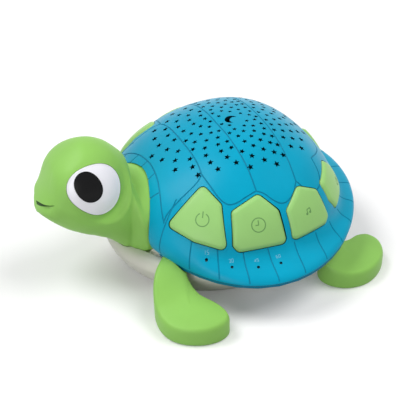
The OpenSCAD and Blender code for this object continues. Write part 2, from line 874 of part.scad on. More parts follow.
// ---- buttons and fixed scutes ----
module button(i) color(leaf) {
    at_scute(scute_places[i]) {
        scute(scute_outlines[i]);
        post();
    }
}
module button_power() { translate(home) button(0); }
module button_timer() { translate(home) button(1); }
module button_music() { translate(home) button(2); }
module button_volume() { translate(home) button(3); }
module fixed_scute(i) color(leaf) {
    mirror([1, 0, 0]) at_scute(scute_places[i]) scute(scute_outlines[i]);
}
module scute_right_1() { translate(home) fixed_scute(0); }
module scute_right_2() { translate(home) fixed_scute(1); }
module scute_right_3() { translate(home) fixed_scute(2); }
module scute_right_4() { translate(home) fixed_scute(3); }
module scute_rear() color(leaf) translate(home) {
    at_scute(rear_at) scute(rear_outline);
}

// ---- switches ----
module switch_boards() color(board_green) translate(home) {
    for (i = [0:3]) at_scute(scute_places[i])
        translate([-8, -6, pad_z]) cube([16, 12, 1.2]);
}
module tact_switches() color(black) translate(home) {
    for (i = [0:3]) at_scute(scute_places[i]) {
        translate([-3, -3, switch_z]) cube([6, 6, switch_h]);
        translate([0, 0, switch_z + switch_h - 0.5])
            cylinder(r = 1.75, h = tip_h + 0.5, $fn = 32);
    }
}

// ---- electronics ----
board_t = 1.6;
tower_r = 8;
tower_top = 46;
module main_board() color(board_green) translate(home) {
    translate([-24, -18, board_z]) cube([48, 36, board_t]);
}
module led_tower() color(black) translate(home) {
    translate([0, 0, board_z + board_t]) difference() {
        union() {
            cylinder(r = tower_r, h = tower_top - board_z - board_t,
                $fn = 64);
            cylinder(r = tower_r + 3, h = 2, $fn = 64);
        }
        translate([0, 0, -1]) cylinder(r = tower_r - 1.8, h = 60, $fn = 64);
    }
}
module led_board() color(board_green) translate(home) {
    translate([0, 0, tower_top]) cylinder(r = 11, h = board_t, $fn = 64);
}
module projector_leds() color(white) translate(home) {
    for (a = [0:120:240]) rotate([0, 0, a])
        translate([0, 5.5, tower_top + board_t]) {
            cylinder(r = 2.5, h = 5.5, $fn = 32);
            cylinder(r = 2.9, h = 1, $fn = 32);
            translate([0, 0, 5.5]) sphere(r = 2.5, $fn = 32);
        }
}
strip_z = 25.7;
strip_t = 0.8;
strip_half = 1.5;
function strip_side(t, s) =
    let (
        a = dome_pt(t, foot_share(t)),
        d = rim_pt(t),
        p = brim_pt(t, pin_u),
        w = unit(flat2(d - a))
    )
    [p.x + s * w.x, p.y + s * w.y];
module indicator_board() color(board_green) translate(home) {
    translate([0, 0, strip_z]) linear_extrude(strip_t)
        polygon(concat(
            [for (t = [54:4:90]) strip_side(t, strip_half)],
            [for (t = [90:-4:54]) strip_side(t, -strip_half)]));
}
module indicator_leds() color(white) translate(home) {
    for (t = pin_t)
        let (p = brim_pt(t, pin_u))
            translate([p.x - 1, p.y - 1, strip_z + strip_t])
                cube([2, 2, 0.5]);
}
module light_pipes() color(white) translate(home) {
    for (t = pin_t)
        let (
            p = brim_pt(t, pin_u),
            z = strip_z + strip_t + 0.7
        )
            translate([p.x, p.y, z])
                cylinder(r = pin_r - 0.2, h = p.z - 0.4 - z, $fn = 32);
}
module speaker() color(black) translate(home) {
    r = speaker_d / 2;
    translate([0, speaker_y, floor_t + seat]) rotate_extrude($fn = 64)
        polygon([[0, 0.8], [r - 3, 0.8], [r - 3, 0], [r, 0], [r, 1.8],
            [r - 2.5, 1.8], [9, 7], [9, 11.4], [0, 11.4]]);
}
module speaker_ring() color(steel) translate(home) {
    r = speaker_d / 2;
    translate([0, speaker_y, floor_t + 2.1]) difference() {
        cylinder(r = r + 1.6, h = 1.2, $fn = 64);
        translate([0, 0, -1]) cylinder(r = r - 1.6, h = 4, $fn = 64);
    }
}

// ---- battery bay ----
module battery_cells() color(steel) translate(home) {
    for (i = [-1:1])
        translate([-cell_l / 2, bay_y + i * (cell_d + 0.3),
            cell_z + cell_d / 2])
            rotate([0, 90, 0]) {
                cylinder(r = cell_d / 2, h = cell_l - 1, $fn = 64);
                cylinder(r = 1.9, h = cell_l, $fn = 32);
            }
}
module battery_contacts() color(steel) translate(home) {
    for (s = [-1, 1], i = [-1:1])
        translate([s * (bay_l / 2 - 0.6) - 0.3,
            bay_y + i * (cell_d + 0.3) - 4, cell_z + 1])
            cube([0.6, 8, cell_d - 2]);
    for (s = [-1, 1], i = [-1:1])
        translate([s > 0 ? cell_l / 2 + seat : -bay_l / 2 + 1.2,
            bay_y + i * (cell_d + 0.3), cell_z + cell_d / 2])
            rotate([0, 90, 0])
                cylinder(r = 2.4, h = (bay_l - cell_l) / 2 - 1.2 - seat,
                    $fn = 32);
}
module battery_door() color(cream) translate(home) {
    difference() {
        union() {
            translate([-door_half, hinge_y, door_z])
                cube([2 * door_half, door_end - hinge_y, door_t]);
            translate([-door_half, hinge_y, hinge_z]) rotate([0, 90, 0])
                cylinder(r = hinge_r, h = 2 * door_half, $fn = 32);
            translate([-door_half - pin_len, hinge_y, hinge_z])
                rotate([0, 90, 0])
                    cylinder(r = 0.8, h = 2 * (door_half + pin_len),
                        $fn = 32);
            translate([-door_tongue, door_end - 1, door_z])
                cube([2 * door_tongue, door_screw_y + 4.3 - door_end + 1, door_t]);
        }
        translate([0, door_screw_y, -1])
            cylinder(r = 1.7, h = 6, $fn = 32);
        translate([0, door_screw_y, -1])
            cylinder(r = 3.2, h = 1 + door_z + 0.9, $fn = 32);
    }
}
module door_screw() color(steel) translate(home) {
    translate([0, door_screw_y, door_z + 0.2]) difference() {
        union() {
            cylinder(r = 2.9, h = 0.7, $fn = 32);
            cylinder(r = 1.6, h = 5.6, $fn = 32);
        }
        translate([-0.4, -2, -0.5]) cube([0.8, 4, 0.9]);
    }
}
module case_screws() color(steel) translate(home) {
    for (p = screw_at) translate([p.x, p.y, 0.5]) difference() {
        union() {
            cylinder(r = 3, h = 1.7, $fn = 32);
            cylinder(r = 1.5, h = 33, $fn = 32);
        }
        translate([-0.5, -2.2, -0.5]) cube([1, 4.4, 1.3]);
        translate([-2.2, -0.5, -0.5]) cube([4.4, 1, 1.3]);
    }
}

shell();
brim_ring();
belly();
head();
eye_white_left();
eye_white_right();
pupil_left();
pupil_right();
flipper_front_left();
flipper_front_right();
flipper_rear_left();
flipper_rear_right();
button_power();
button_timer();
button_music();
button_volume();
scute_right_1();
scute_right_2();
scute_right_3();
scute_right_4();
scute_rear();
switch_boards();
tact_switches();
main_board();
led_tower();
led_board();
projector_leds();
indicator_board();
indicator_leds();
light_pipes();
speaker();
speaker_ring();
battery_cells();
battery_contacts();
battery_door();
door_screw();
case_screws();
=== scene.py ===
"""Turtle night light: the looks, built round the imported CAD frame.

Lengths inside the shape functions are millimetres: the head looks along -Y, +X is the turtle's left
side and z = 0 is the floor. The shapes are drawn round the dome's axis, and HOME moves them to the
frame's origin under the middle of the belly.
"""
import math

import bmesh
import bpy
import numpy as np
from mathutils import Matrix, Vector
from mathutils.bvhtree import BVHTree


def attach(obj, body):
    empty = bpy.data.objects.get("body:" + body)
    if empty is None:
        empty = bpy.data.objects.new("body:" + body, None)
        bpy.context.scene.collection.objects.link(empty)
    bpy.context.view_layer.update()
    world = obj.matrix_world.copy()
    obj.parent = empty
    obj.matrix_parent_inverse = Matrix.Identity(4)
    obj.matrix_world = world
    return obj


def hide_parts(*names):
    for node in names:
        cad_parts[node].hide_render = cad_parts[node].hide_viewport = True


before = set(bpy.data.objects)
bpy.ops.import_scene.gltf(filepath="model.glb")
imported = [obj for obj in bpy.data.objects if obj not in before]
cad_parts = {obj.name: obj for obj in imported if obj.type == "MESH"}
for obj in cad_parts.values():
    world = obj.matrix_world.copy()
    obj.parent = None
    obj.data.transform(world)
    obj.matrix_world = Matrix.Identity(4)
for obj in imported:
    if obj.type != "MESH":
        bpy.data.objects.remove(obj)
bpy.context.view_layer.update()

MM = 0.001
HOME = np.array([0.0, 25.0, 0.0])
DOWN = Vector((0, 0, -1))


# ---------------------------------------------------------------- small maths
def sgnpow(v, e):
    return np.sign(v) * np.abs(v) ** e


def unit(v):
    v = np.asarray(v, float)
    return v / np.maximum(np.linalg.norm(v, axis=-1, keepdims=True), 1e-12)


def cosd(a):
    return np.cos(np.radians(a))


def sind(a):
    return np.sin(np.radians(a))


def smoothstep(a, b, x):
    s = np.clip((np.asarray(x, float) - a) / (b - a), 0, 1)
    return s * s * (3 - 2 * s)


def catmull(pts, per=8, closed=False):
    """Smooth curve through points of any dimension."""
    p = np.asarray(pts, float)
    k = len(p)
    out = []
    spans = k if closed else k - 1
    for i in range(spans):
        a = p[(i - 1) % k] if closed or i > 0 else 2 * p[0] - p[1]
        b, c = p[i], p[(i + 1) % k]
        d = p[(i + 2) % k] if closed or i + 2 < k else 2 * p[-1] - p[-2]
        t = (np.arange(per) / per)[:, None]
        out.append(0.5 * (2 * b + (c - a) * t + (2 * a - 5 * b + 4 * c - d) * t * t
                          + (3 * b - a - 3 * c + d) * t ** 3))
    if not closed:
        out.append(p[-1:])
    return np.vstack(out)


def resample(pts, step=None, count=None, closed=False):
    p = np.asarray(pts, float)
    if closed:
        p = np.vstack([p, p[:1]])
    seg = np.linalg.norm(np.diff(p, axis=0), axis=1)
    s = np.concatenate([[0], np.cumsum(seg)])
    if count is None:
        count = max(2, int(round(s[-1] / step)) + 1)
    q = np.linspace(0, s[-1], count + 1)[:-1] if closed else np.linspace(0, s[-1], count)
    return np.stack([np.interp(q, s, p[:, i]) for i in range(p.shape[1])], 1)


def pchip(x, y, q):
    """Monotone cubic through (x, y), evaluated at q."""
    x, y, q = (np.asarray(v, float) for v in (x, y, q))
    h = np.diff(x)
    d = np.diff(y) / h
    m = np.zeros(len(x))
    for i in range(1, len(x) - 1):
        if d[i - 1] * d[i] > 0:
            w1, w2 = 2 * h[i] + h[i - 1], h[i] + 2 * h[i - 1]
            m[i] = (w1 + w2) / (w1 / d[i - 1] + w2 / d[i])
    m[0], m[-1] = d[0], d[-1]
    i = np.clip(np.searchsorted(x, q) - 1, 0, len(h) - 1)
    t = (q - x[i]) / h[i]
    return ((2 * t ** 3 - 3 * t ** 2 + 1) * y[i] + (t ** 3 - 2 * t ** 2 + t) * h[i] * m[i]
            + (-2 * t ** 3 + 3 * t ** 2) * y[i + 1] + (t ** 3 - t ** 2) * h[i] * m[i + 1])


# ---------------------------------------------------------------- mesh helpers
def add_mesh(name, verts, faces, material=None):
    me = bpy.data.meshes.new(name)
    me.from_pydata(((np.asarray(verts, float) + HOME) * MM).tolist(), [], faces)
    me.validate()
    ob = bpy.data.objects.new(name, me)
    bpy.context.scene.collection.objects.link(ob)
    if material:
        me.materials.append(material)
    return ob


def shade(ob, angle=32):
    me = ob.data
    me.polygons.foreach_set("use_smooth", [True] * len(me.polygons))
    me.set_sharp_from_angle(angle=math.radians(angle))
    me.update()
    return ob


def loft(rings, tips=(None, None)):
    """Verts and faces of a closed body through rings of equal length.

    Each end is closed by a fan round the ring's own centre, or round a tip.
    """
    n = len(rings[0])
    verts = [np.asarray(r, float) for r in rings]
    faces = []
    for j in range(len(rings) - 1):
        for i in range(n):
            a, b = j * n + i, j * n + (i + 1) % n
            faces.append((a, b, b + n, a + n))
    base = len(rings) * n
    for ring, tip, flip in ((0, tips[0], True), (len(rings) - 1, tips[1], False)):
        verts.append(np.asarray([verts[ring].mean(0) if tip is None else tip], float))
        for i in range(n):
            a, b = ring * n + i, ring * n + (i + 1) % n
            faces.append((b, a, base) if flip else (a, b, base))
        base += 1
    return np.vstack(verts), faces


def ring_body(rings):
    """A torus-like closed body: the rings run round and the last joins the first."""
    n, k = len(rings[0]), len(rings)
    faces = []
    for j in range(k):
        row, after = j * n, (j + 1) % k * n
        faces += [(row + i, row + (i + 1) % n, after + (i + 1) % n, after + i) for i in range(n)]
    return np.vstack(rings), faces


def tube(path, radius, sides=8):
    """A closed tube along a path."""
    p = np.asarray(path, float)
    tan = unit(np.gradient(p, axis=0))
    up = np.array([0.0, 0.0, 1.0])
    if abs(tan[0] @ up) > 0.9:
        up = np.array([1.0, 0.0, 0.0])
    a = unit(np.cross(tan[0], up))
    rings = []
    for i in range(len(p)):
        a = unit(a - tan[i] * (a @ tan[i]))
        b = np.cross(tan[i], a)
        ang = np.arange(sides) * 2 * math.pi / sides
        rings.append(p[i] + radius * (np.cos(ang)[:, None] * a + np.sin(ang)[:, None] * b))
    return loft(rings)


def merge(parts):
    verts, faces, base = [], [], 0
    for v, f in parts:
        verts.append(np.asarray(v, float))
        faces += [tuple(base + i for i in q) for q in f]
        base += len(v)
    return np.vstack(verts), faces


def fix_normals(ob):
    bm = bmesh.new()
    bm.from_mesh(ob.data)
    bmesh.ops.recalc_face_normals(bm, faces=bm.faces)
    bm.to_mesh(ob.data)
    bm.free()
    return ob


def join(ob, tool, operation, material_mode="INDEX"):
    """Applies one boolean to ob and removes the tool."""
    mod = ob.modifiers.new("cut", "BOOLEAN")
    mod.operation = operation
    mod.solver = "MANIFOLD"
    mod.material_mode = material_mode
    mod.object = tool
    dg = bpy.context.evaluated_depsgraph_get()
    new = bpy.data.meshes.new_from_object(ob.evaluated_get(dg))
    ob.modifiers.clear()
    old, ob.data = ob.data, new
    bpy.data.meshes.remove(old)
    bpy.data.objects.remove(tool)
    return ob


def cut(ob, parts, material=None):
    """Takes the merged parts out of ob. The cut faces get the material."""
    tool = fix_normals(add_mesh("cutter", *merge(parts), material))
    return join(ob, tool, "DIFFERENCE", "TRANSFER" if material else "INDEX")


def prism(pts, z0, z1):
    """A straight prism over a 2-D outline."""
    p = np.asarray(pts, float)
    return loft([np.c_[p, np.full(len(p), z)] for z in (z0, z1)])


def place(v, m):
    """Points moved by a matrix in mm."""
    m = np.array(m, float)
    return np.asarray(v, float) @ m[:3, :3].T + m[:3, 3]


def mirror_x(part):
    v, f = part
    return np.asarray(v) * [-1, 1, 1], [tuple(reversed(q)) for q in f]


def finish_piece(ob, body, slot, *nodes, angle=32):
    shade(ob, angle)
    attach(ob, body)
    if nodes:
        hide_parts(*nodes)
    return ob


# ---------------------------------------------------------------- materials
def srgb(r, g, b):
    def lin(c):
        c /= 255
        return c / 12.92 if c <= 0.04045 else ((c + 0.055) / 1.055) ** 2.4
    return (lin(r), lin(g), lin(b), 1.0)


def set_inputs(node, values):
    for socket, value in values.items():
        node.inputs[socket].default_value = value


DRIFT_SCALE, GRAIN_DEPTH_MM, GLOSS_DRIFT = 38, 0.03, 0.05


def plastic(name, colour, rough=0.42, tone=0.05, grain=0.35, grain_mm=0.5, coat=0.0, specular=0.5):
    """Moulded plastic: a fine spark-eroded grain, slow drifts of tone and of gloss."""
    mat = bpy.data.materials.new(name)
    mat.use_nodes = True
    nt = mat.node_tree
    nodes, link = nt.nodes, nt.links.new
    bsdf = nodes["Principled BSDF"]
    coord = nodes.new("ShaderNodeTexCoord")
    slow = nodes.new("ShaderNodeTexNoise")
    set_inputs(slow, {"Scale": DRIFT_SCALE, "Detail": 3})
    link(coord.outputs["Object"], slow.inputs["Vector"])
    ramp = nodes.new("ShaderNodeMapRange")
    set_inputs(ramp, {"From Min": 0.3, "From Max": 0.7, "To Min": 1 - tone, "To Max": 1 + tone})
    link(slow.outputs["Fac"], ramp.inputs["Value"])
    toned = nodes.new("ShaderNodeVectorMath")
    toned.operation = "SCALE"
    toned.inputs[0].default_value = colour[:3]
    link(ramp.outputs["Result"], toned.inputs["Scale"])
    link(toned.outputs["Vector"], bsdf.inputs["Base Color"])
    fine = nodes.new("ShaderNodeTexNoise")
    set_inputs(fine, {"Scale": 1 / (grain_mm * MM), "Detail": 2})
    link(coord.outputs["Object"], fine.inputs["Vector"])
    bump = nodes.new("ShaderNodeBump")
    set_inputs(bump, {"Strength": grain, "Distance": GRAIN_DEPTH_MM * MM})
    link(fine.outputs["Fac"], bump.inputs["Height"])
    link(bump.outputs["Normal"], bsdf.inputs["Normal"])
    gloss = nodes.new("ShaderNodeMapRange")
    set_inputs(gloss, {"To Min": rough - GLOSS_DRIFT, "To Max": rough + GLOSS_DRIFT})
    link(slow.outputs["Fac"], gloss.inputs["Value"])
    link(gloss.outputs["Result"], bsdf.inputs["Roughness"])
    set_inputs(bsdf, {"Specular IOR Level": specular, "Coat Weight": coat, "Coat Roughness": 0.12})
    return mat


def metal(name, colour, rough):
    mat = plastic(name, colour, rough, tone=0.08, grain=0.2, grain_mm=0.3)
    mat.node_tree.nodes["Principled BSDF"].inputs["Metallic"].default_value = 1
    return mat


TEAL = plastic("teal_plastic", srgb(2, 156, 190), rough=0.34, specular=0.12)
RING = plastic("teal_ring", srgb(4, 112, 142), rough=0.45, specular=0.18)
# painted shade: the faces inside the grooves are a darker teal for the shade that falls in them
GROOVE_SHADE = plastic("teal_groove_painted_shade", srgb(4, 128, 160), rough=0.5, specular=0.15)
# painted shade: a near-black teal on the walls of the holes and openings, where shade falls
HOLE_SHADE = plastic("teal_hole_wall_painted_shade", srgb(6, 40, 54), rough=0.6, specular=0.1)
# painted shade: a near-black teal on the unlit inside of the shell
INSIDE_SHADE = plastic("teal_inside_painted_shade", srgb(10, 36, 44), rough=0.7, specular=0.2)
GREEN = plastic("green_plastic", srgb(140, 194, 92), rough=0.46, specular=0.25)
BUTTON = plastic("button_plastic", srgb(150, 200, 117), rough=0.4, specular=0.3)
INK = plastic("icon_ink", srgb(98, 146, 80), rough=0.6)
PALE = plastic("number_ink", srgb(120, 190, 214), rough=0.6)
CREAM = plastic("cream_plastic", srgb(212, 210, 200), rough=0.42)
WHITE = plastic("eye_white_gloss", srgb(240, 239, 246), rough=0.3, tone=0.015, grain=0.04)
BLACK = plastic("pupil_gloss", srgb(10, 10, 12), rough=0.3, tone=0.05, grain=0.05, specular=0.14)
MOUTH = plastic("mouth_shadow", srgb(52, 88, 34), rough=0.7)
BOARD = plastic("board_green", srgb(26, 104, 62), rough=0.4, tone=0.12)
SOOT = plastic("inner_black", srgb(26, 26, 28), rough=0.6)
SMOKE = plastic("smoked_resin", srgb(30, 40, 46), rough=0.25, coat=0.4)
LED = plastic("led_resin", srgb(232, 236, 240), rough=0.2, coat=0.4)
CELL = metal("cell_jacket", srgb(150, 156, 164), 0.3)
STEEL = metal("bright_steel", srgb(196, 196, 200), 0.28)

# ---------------------------------------------------------------- the dome and its brim
DOME_W, DOME_FRONT, DOME_REAR, FOOT_Z, TOP_Z = 70.7, 80.3, 56.9, 37.3, 81.0
PLAN_FRONT, PLAN_REAR = 2.16, 2.29  # powers of the plan's two super-ellipses
RISE, RISE_FRONT, ROUND, ROUND_FRONT = 2.35, 0.71, 1.61, 0.22  # powers of the profile, and their change ahead
WALL = 2.2
RIM_W, RIM_FRONT, RIM_REAR, RIM_Z = 88.0, 69.7, 69.7, 27.8
RIM_BEND, RIM_TAPER, RIM_RISE, RIM_WAVE = 12, 0.08, 3.4, 2.85
LIP_U, LIP_W = 0.965, 1.3  # where the brim starts to turn under, and how far in it turns
FOOT_T = [0, 34, 42, 50, 58, 64, 70, 180]
FOOT_K = [0.74, 0.74, 0.82, 0.9, 0.965, 0.985, 0.997, 0.997]
STEEP_FROM, STEEP_TO = 32, 68
# control points of the brim's curve, as shares of its width and height
STEEP_PULL, GENTLE_OUT, GENTLE_DOWN = 0.53, 0.3, 0.75
RIM_IN, RIM_IN_STEEP, RIM_UP, RIM_UP_STEEP = 0.15, 0.635, 0.5, 0.26
ARCH_W, ARCH_Z, ARCH_H = 32.0, 35.5, 25.0


def dome_z(x, y):
    """Height of the dome: a super-ellipse in plan and in profile, fuller round the sides."""
    front = y < 0
    n = np.where(front, PLAN_FRONT, PLAN_REAR)
    a = np.where(front, DOME_FRONT, DOME_REAR)
    s = ((np.abs(x) / DOME_W) ** n + (np.abs(y) / a) ** n) ** (1 / n)
    f = np.where(front, (y / np.maximum(np.hypot(x, y), 0.01)) ** 2, 0)
    inner = np.maximum(0, 1 - s ** (RISE - RISE_FRONT * f))
    return FOOT_Z + (TOP_Z - FOOT_Z) * inner ** (1 / (ROUND - ROUND_FRONT * f))


def dome_pt(t, k):
    """A point of the dome: t degrees round from the front, at share k of the way out."""
    c, s = cosd(t), sind(t)
    front = c > 1e-9
    e = 2 / np.where(front, PLAN_FRONT, PLAN_REAR)
    x = k * DOME_W * sgnpow(s, e)
    y = -k * np.where(front, DOME_FRONT, DOME_REAR) * sgnpow(c, e)
    return np.stack(np.broadcast_arrays(x, y, dome_z(x, y)), -1)


def dome_normal(x, y, e=0.2):
    return unit(np.array([dome_z(x - e, y) - dome_z(x + e, y), dome_z(x, y - e) - dome_z(x, y + e),
                          2 * e]))


def off_front(t):
    """Degrees away from the front, on either side."""
    return np.degrees(np.arccos(np.clip(cosd(t), -1, 1)))


def foot_share(t):
    """Share of the dome that is left above the brim."""
    return pchip(FOOT_T, FOOT_K, off_front(t))


def front_share(t):
    """1 where the brim drops steeply beside the neck, 0 round the sides."""
    return 1 - smoothstep(STEEP_FROM, STEEP_TO, off_front(t))


def rim_pt(t):
    """The brim's outermost edge, which rises and falls round the object."""
    r = np.where(cosd(t) > 0, t - RIM_BEND * sind(2 * t), t)
    c = cosd(r)
    x = RIM_W * sind(r) * (1 + RIM_TAPER * c)
    y = -np.where(c > 0, RIM_FRONT, RIM_REAR) * c
    return np.stack(np.broadcast_arrays(x, y, RIM_Z - RIM_RISE * c + RIM_WAVE * cosd(2 * r)), -1)


def brim_pt(t, u):
    """A cubic from the dome's foot to the rim: gentle round the sides, steep beside the neck."""
    s = foot_share(t)
    a, d = dome_pt(t, s), rim_pt(t)
    w = (d - a) * [1, 1, 0]
    h = (a - d)[..., 2:] * [0, 0, 1]
    g = front_share(t)[..., None]
    u = np.asarray(u, float)[..., None]
    m = 1 - u
    f = a + STEEP_PULL * np.linalg.norm(d - a, axis=-1, keepdims=True) * unit(a - dome_pt(t, s - 0.004))
    b = g * f + (1 - g) * (a + GENTLE_OUT * w - GENTLE_DOWN * h)
    c = d + (RIM_IN_STEEP * g - RIM_IN) * w + (RIM_UP - RIM_UP_STEEP * g) * h
    return m ** 3 * a + 3 * m * m * u * b + 3 * m * u * u * c + u ** 3 * d


def skin_pt(t, v):
    """The whole outside: v runs from 0 at the top over 1 at the dome's foot to 2 at the rim."""
    t, v = np.broadcast_arrays(np.asarray(t, float), np.asarray(v, float))
    top = dome_pt(t, np.minimum(v, 1) * foot_share(t))
    low = brim_pt(t, np.clip(v - 1, 0, 1))
    return np.where((v <= 1)[..., None], top, low)


def skin_normal(t, v):
    return unit(np.cross(skin_pt(t, np.minimum(2, v + 0.02)) - skin_pt(t, v - 0.02),
                         skin_pt(t + 0.5, v) - skin_pt(t - 0.5, v)))


def inset_rim(t, w):
    """The rim moved inwards by w."""
    d = rim_pt(t)
    return d - w * unit((d - dome_pt(t, foot_share(t))) * [1, 1, 0])


SKIN_N = 192
LINING_V = (1.8, 1.6, 1.4, 1.2, 1, 0.93, 0.82, 0.7, 0.55, 0.4, 0.25, 0.1)


def shell_solid():
    """The shell's verts and faces, and the span of its verts that line the inside."""
    n = SKIN_N
    t = np.arange(n) * 360 / n
    w = np.linspace(0.03, 1, 46)
    rings = [skin_pt(t, v) for v in 1 - (1 - w) ** 1.5]  # closer together at the dome's foot
    rings += [brim_pt(t, u) for u in np.linspace(0.05, LIP_U, 18)]
    a, b, c = brim_pt(t, LIP_U), rim_pt(t), inset_rim(t, LIP_W)
    rings += [(1 - s) ** 2 * a + 2 * s * (1 - s) * b + s * s * c for s in (0.25, 0.5, 0.75, 1)]
    rings.append(inset_rim(t, WALL))
    outside = len(rings)
    for v in LINING_V:
        rings.append(skin_pt(t, v) - WALL * skin_normal(t, np.full(n, v)))
    v, f = loft(rings, tips=((0, 0, TOP_Z), (0, 0, TOP_Z - WALL)))
    return v, f, outside * n, len(rings) * n


def make_shell():
    v, f, first, last = shell_solid()
    ob = add_mesh("shell_skin", v, f, TEAL)
    # the lining of the inside gets painted shade
    ob.data.materials.append(INSIDE_SHADE)
    for p in ob.data.polygons:
        if all(first <= i < last or i == len(v) - 1 for i in p.vertices):
            p.material_index = 1
    return fix_normals(ob)


ABOVE_ALL = 0.2
shell = make_shell()
shell_tree = BVHTree.FromObject(shell, bpy.context.evaluated_depsgraph_get())


def on_shell(xy):
    """The points of a plan line, dropped on the shell from above."""
    out = []
    for x, y in np.asarray(xy, float)[:, :2]:
        hit = shell_tree.ray_cast(Vector(((x + HOME[0]) * MM, (y + HOME[1]) * MM, ABOVE_ALL)), DOWN)[0]
        if hit is not None:
            out.append([x, y, hit.z / MM])
    return np.array(out)


# ---------------------------------------------------------------- scutes
OUTLINES = {
    "power": [[-4.2, 22.2], [7.9, 11.9], [13.2, -13.6], [-5.4, -10], [-22.2, -2.4]],
    "timer": [[3, 14.6], [13.4, 4], [16.2, -15], [-12, -15.9], [-15.2, -12.1], [-13.4, 7.1]],
    "music": [[-0.4, 12.6], [11.5, 6.3], [14.1, -11], [10.6, -14.4], [-14, -15], [-13.1, 2.8]],
    "volume": [[6.6, 9.9], [12.4, 4], [13.4, -12.4], [-11.5, -13.4], [-15.6, -4.5], [-13.6, 6.7]],
    "rear": [[0, 12.6], [12.4, 5], [13.6, -12.8], [-13.6, -12.8], [-12.4, 5]],
}
PLACES = {"power": (55.5, 0.907), "timer": (78.8, 0.915), "music": (103.9, 0.915),
          "volume": (139.8, 0.912), "rear": (180, 0.925)}
PROUD, FACE_R, CORNER_R, GAP, SKIRT_Z = 1.4, 54.0, 3.0, 0.4, -7.0
POST_R, POST_Z = 2.5, -12.0
CAP_T, RIM_T = 1.9, 3.6  # how far the hollow of the cap lies under its face
BEVEL = ((0, 2.6), (0, 1.55), (0.1, 1.25), (0.45, 0.85), (1.0, 0.42), (1.5, 0.15), (1.95, 0.03), (2.4, 0.0))


def rounded(pts, r, m=8):
    """An outline with its corners rounded to radius r, m steps each."""
    p = np.asarray(pts, float)
    k = len(p)
    out = []
    for i in range(k):
        a, b, c = p[i - 1], p[i], p[(i + 1) % k]
        u, v = unit(a - b), unit(c - b)
        h = math.acos(np.clip(u @ v, -1, 1)) / 2
        o = b + unit(u + v) * r / math.sin(h)
        q0, q1 = b + u * r / math.tan(h) - o, b + v * r / math.tan(h) - o
        s = math.atan2(q0[1], q0[0])
        d = (math.atan2(q1[1], q1[0]) - s + math.pi) % (2 * math.pi) - math.pi
        out += [o + r * np.array([math.cos(s + d * j / m), math.sin(s + d * j / m)]) for j in range(m + 1)]
    return np.array(out)


def grown(pts, g):
    """An outline with each side moved outwards by g."""
    p = np.asarray(pts, float)
    k = len(p)
    out = []
    for i in range(k):
        u, v = unit(p[i - 1] - p[i]), unit(p[(i + 1) % k] - p[i])
        h = math.acos(np.clip(u @ v, -1, 1)) / 2
        out.append(p[i] - unit(u + v) * g / math.sin(h))
    return np.array(out)


def scute_matrix(name):
    t, k = PLACES[name]
    p = dome_pt(t, k)
    n = dome_normal(p[0], p[1])
    turn = Matrix.Rotation(math.atan2(n[0], -n[1]), 4, "Z") @ Matrix.Rotation(math.acos(n[2]), 4, "X")
    return Matrix.Translation(Vector(p)) @ turn


def face_z(xy):
    """Height of a scute's slightly domed face."""
    off = (np.asarray(xy)[..., :2] ** 2).sum(-1)
    return PROUD - FACE_R + np.sqrt(np.maximum(FACE_R * FACE_R - off, 1))


def offset_ring(ring, d):
    """A ring of either sense moved inwards by d."""
    along = np.roll(ring, -1, 0) - np.roll(ring, 1, 0)
    inward = unit(np.c_[-along[:, 1], along[:, 0]])
    if (inward * (ring.mean(0) - ring)).sum() < 0:
        inward = -inward
    return ring + inward * d


def scute_part(outline):
    """A cap with a skirt: bevelled rim outside, hollow inside."""
    ring = resample(rounded(outline, CORNER_R), count=120, closed=True)
    rings = [np.c_[ring, np.full(len(ring), SKIRT_Z)]]
    for inset, drop in BEVEL:
        p = offset_ring(ring, inset)
        rings.append(np.c_[p, face_z(p) - drop])
    inner = offset_ring(ring, BEVEL[-1][0])
    mid = inner.mean(0)
    for s in (0.86, 0.7, 0.54, 0.38, 0.22, 0.1):
        p = mid + s * (inner - mid)
        rings.append(np.c_[p, face_z(p)])
    low = offset_ring(ring, 1.8)
    back = [np.c_[low, np.full(len(low), SKIRT_Z)], np.c_[low, face_z(low) - RIM_T]]
    for s in (0.7, 0.35):
        p = mid + s * (low - mid)
        back.append(np.c_[p, face_z(p) - CAP_T])
    rings = [*reversed(back), *rings]
    return loft(rings, tips=([*mid, float(face_z(mid)) - CAP_T], [*mid, float(face_z(mid))]))


def post_part():
    ring = np.array([[math.cos(a), math.sin(a)] for a in np.arange(32) * math.pi / 16])
    rows = [(POST_R - 0.3, POST_Z), (POST_R, POST_Z + 0.3), (POST_R, -0.6)]
    return loft([np.c_[ring * r, np.full(32, z)] for r, z in rows])


def make_scute(name, kind, body, node, mirrored=False):
    """One cap. The buttons on the left also have the post that works the switch."""
    parts = [scute_part(OUTLINES[kind])]
    if not mirrored and kind != "rear":
        parts.append(post_part())
    v, f = merge(parts)
    part = (place(v, scute_matrix(kind)), f)
    if mirrored:
        part = mirror_x(part)
    ob = fix_normals(add_mesh(name, *part, BUTTON))
    return finish_piece(ob, body, "leaf_green", node, angle=50)


for kind in ("power", "timer", "music", "volume"):
    make_scute(f"button_{kind}_cap", kind, f"button_{kind}", f"button_{kind}")
for i, kind in enumerate(("power", "timer", "music", "volume"), 1):
    make_scute(f"scute_right_{i}_cap", kind, "casing", f"scute_right_{i}", mirrored=True)
make_scute("scute_rear_cap", "rear", "casing", "scute_rear")


# ---------------------------------------------------------------- icons and numbers
def ribbon(path, width, top, height):
    """A flat strip along a 2-D path: top(p) gives the height of its upper side."""
    p = np.asarray(path, float)
    tan = unit(np.gradient(p, axis=0))
    side = np.c_[-tan[:, 1], tan[:, 0]] * width / 2
    rings = []
    for a, b in zip(p + side, p - side):
        rings.append(np.array([[*a, top(a)], [*b, top(b)], [*b, top(b) - height], [*a, top(a) - height]]))
    return loft(rings)


def arc(cx, cy, r, a0, a1, n=24):
    a = np.radians(np.linspace(a0, a1, n))
    return np.c_[cx + r * np.cos(a), cy + r * np.sin(a)]


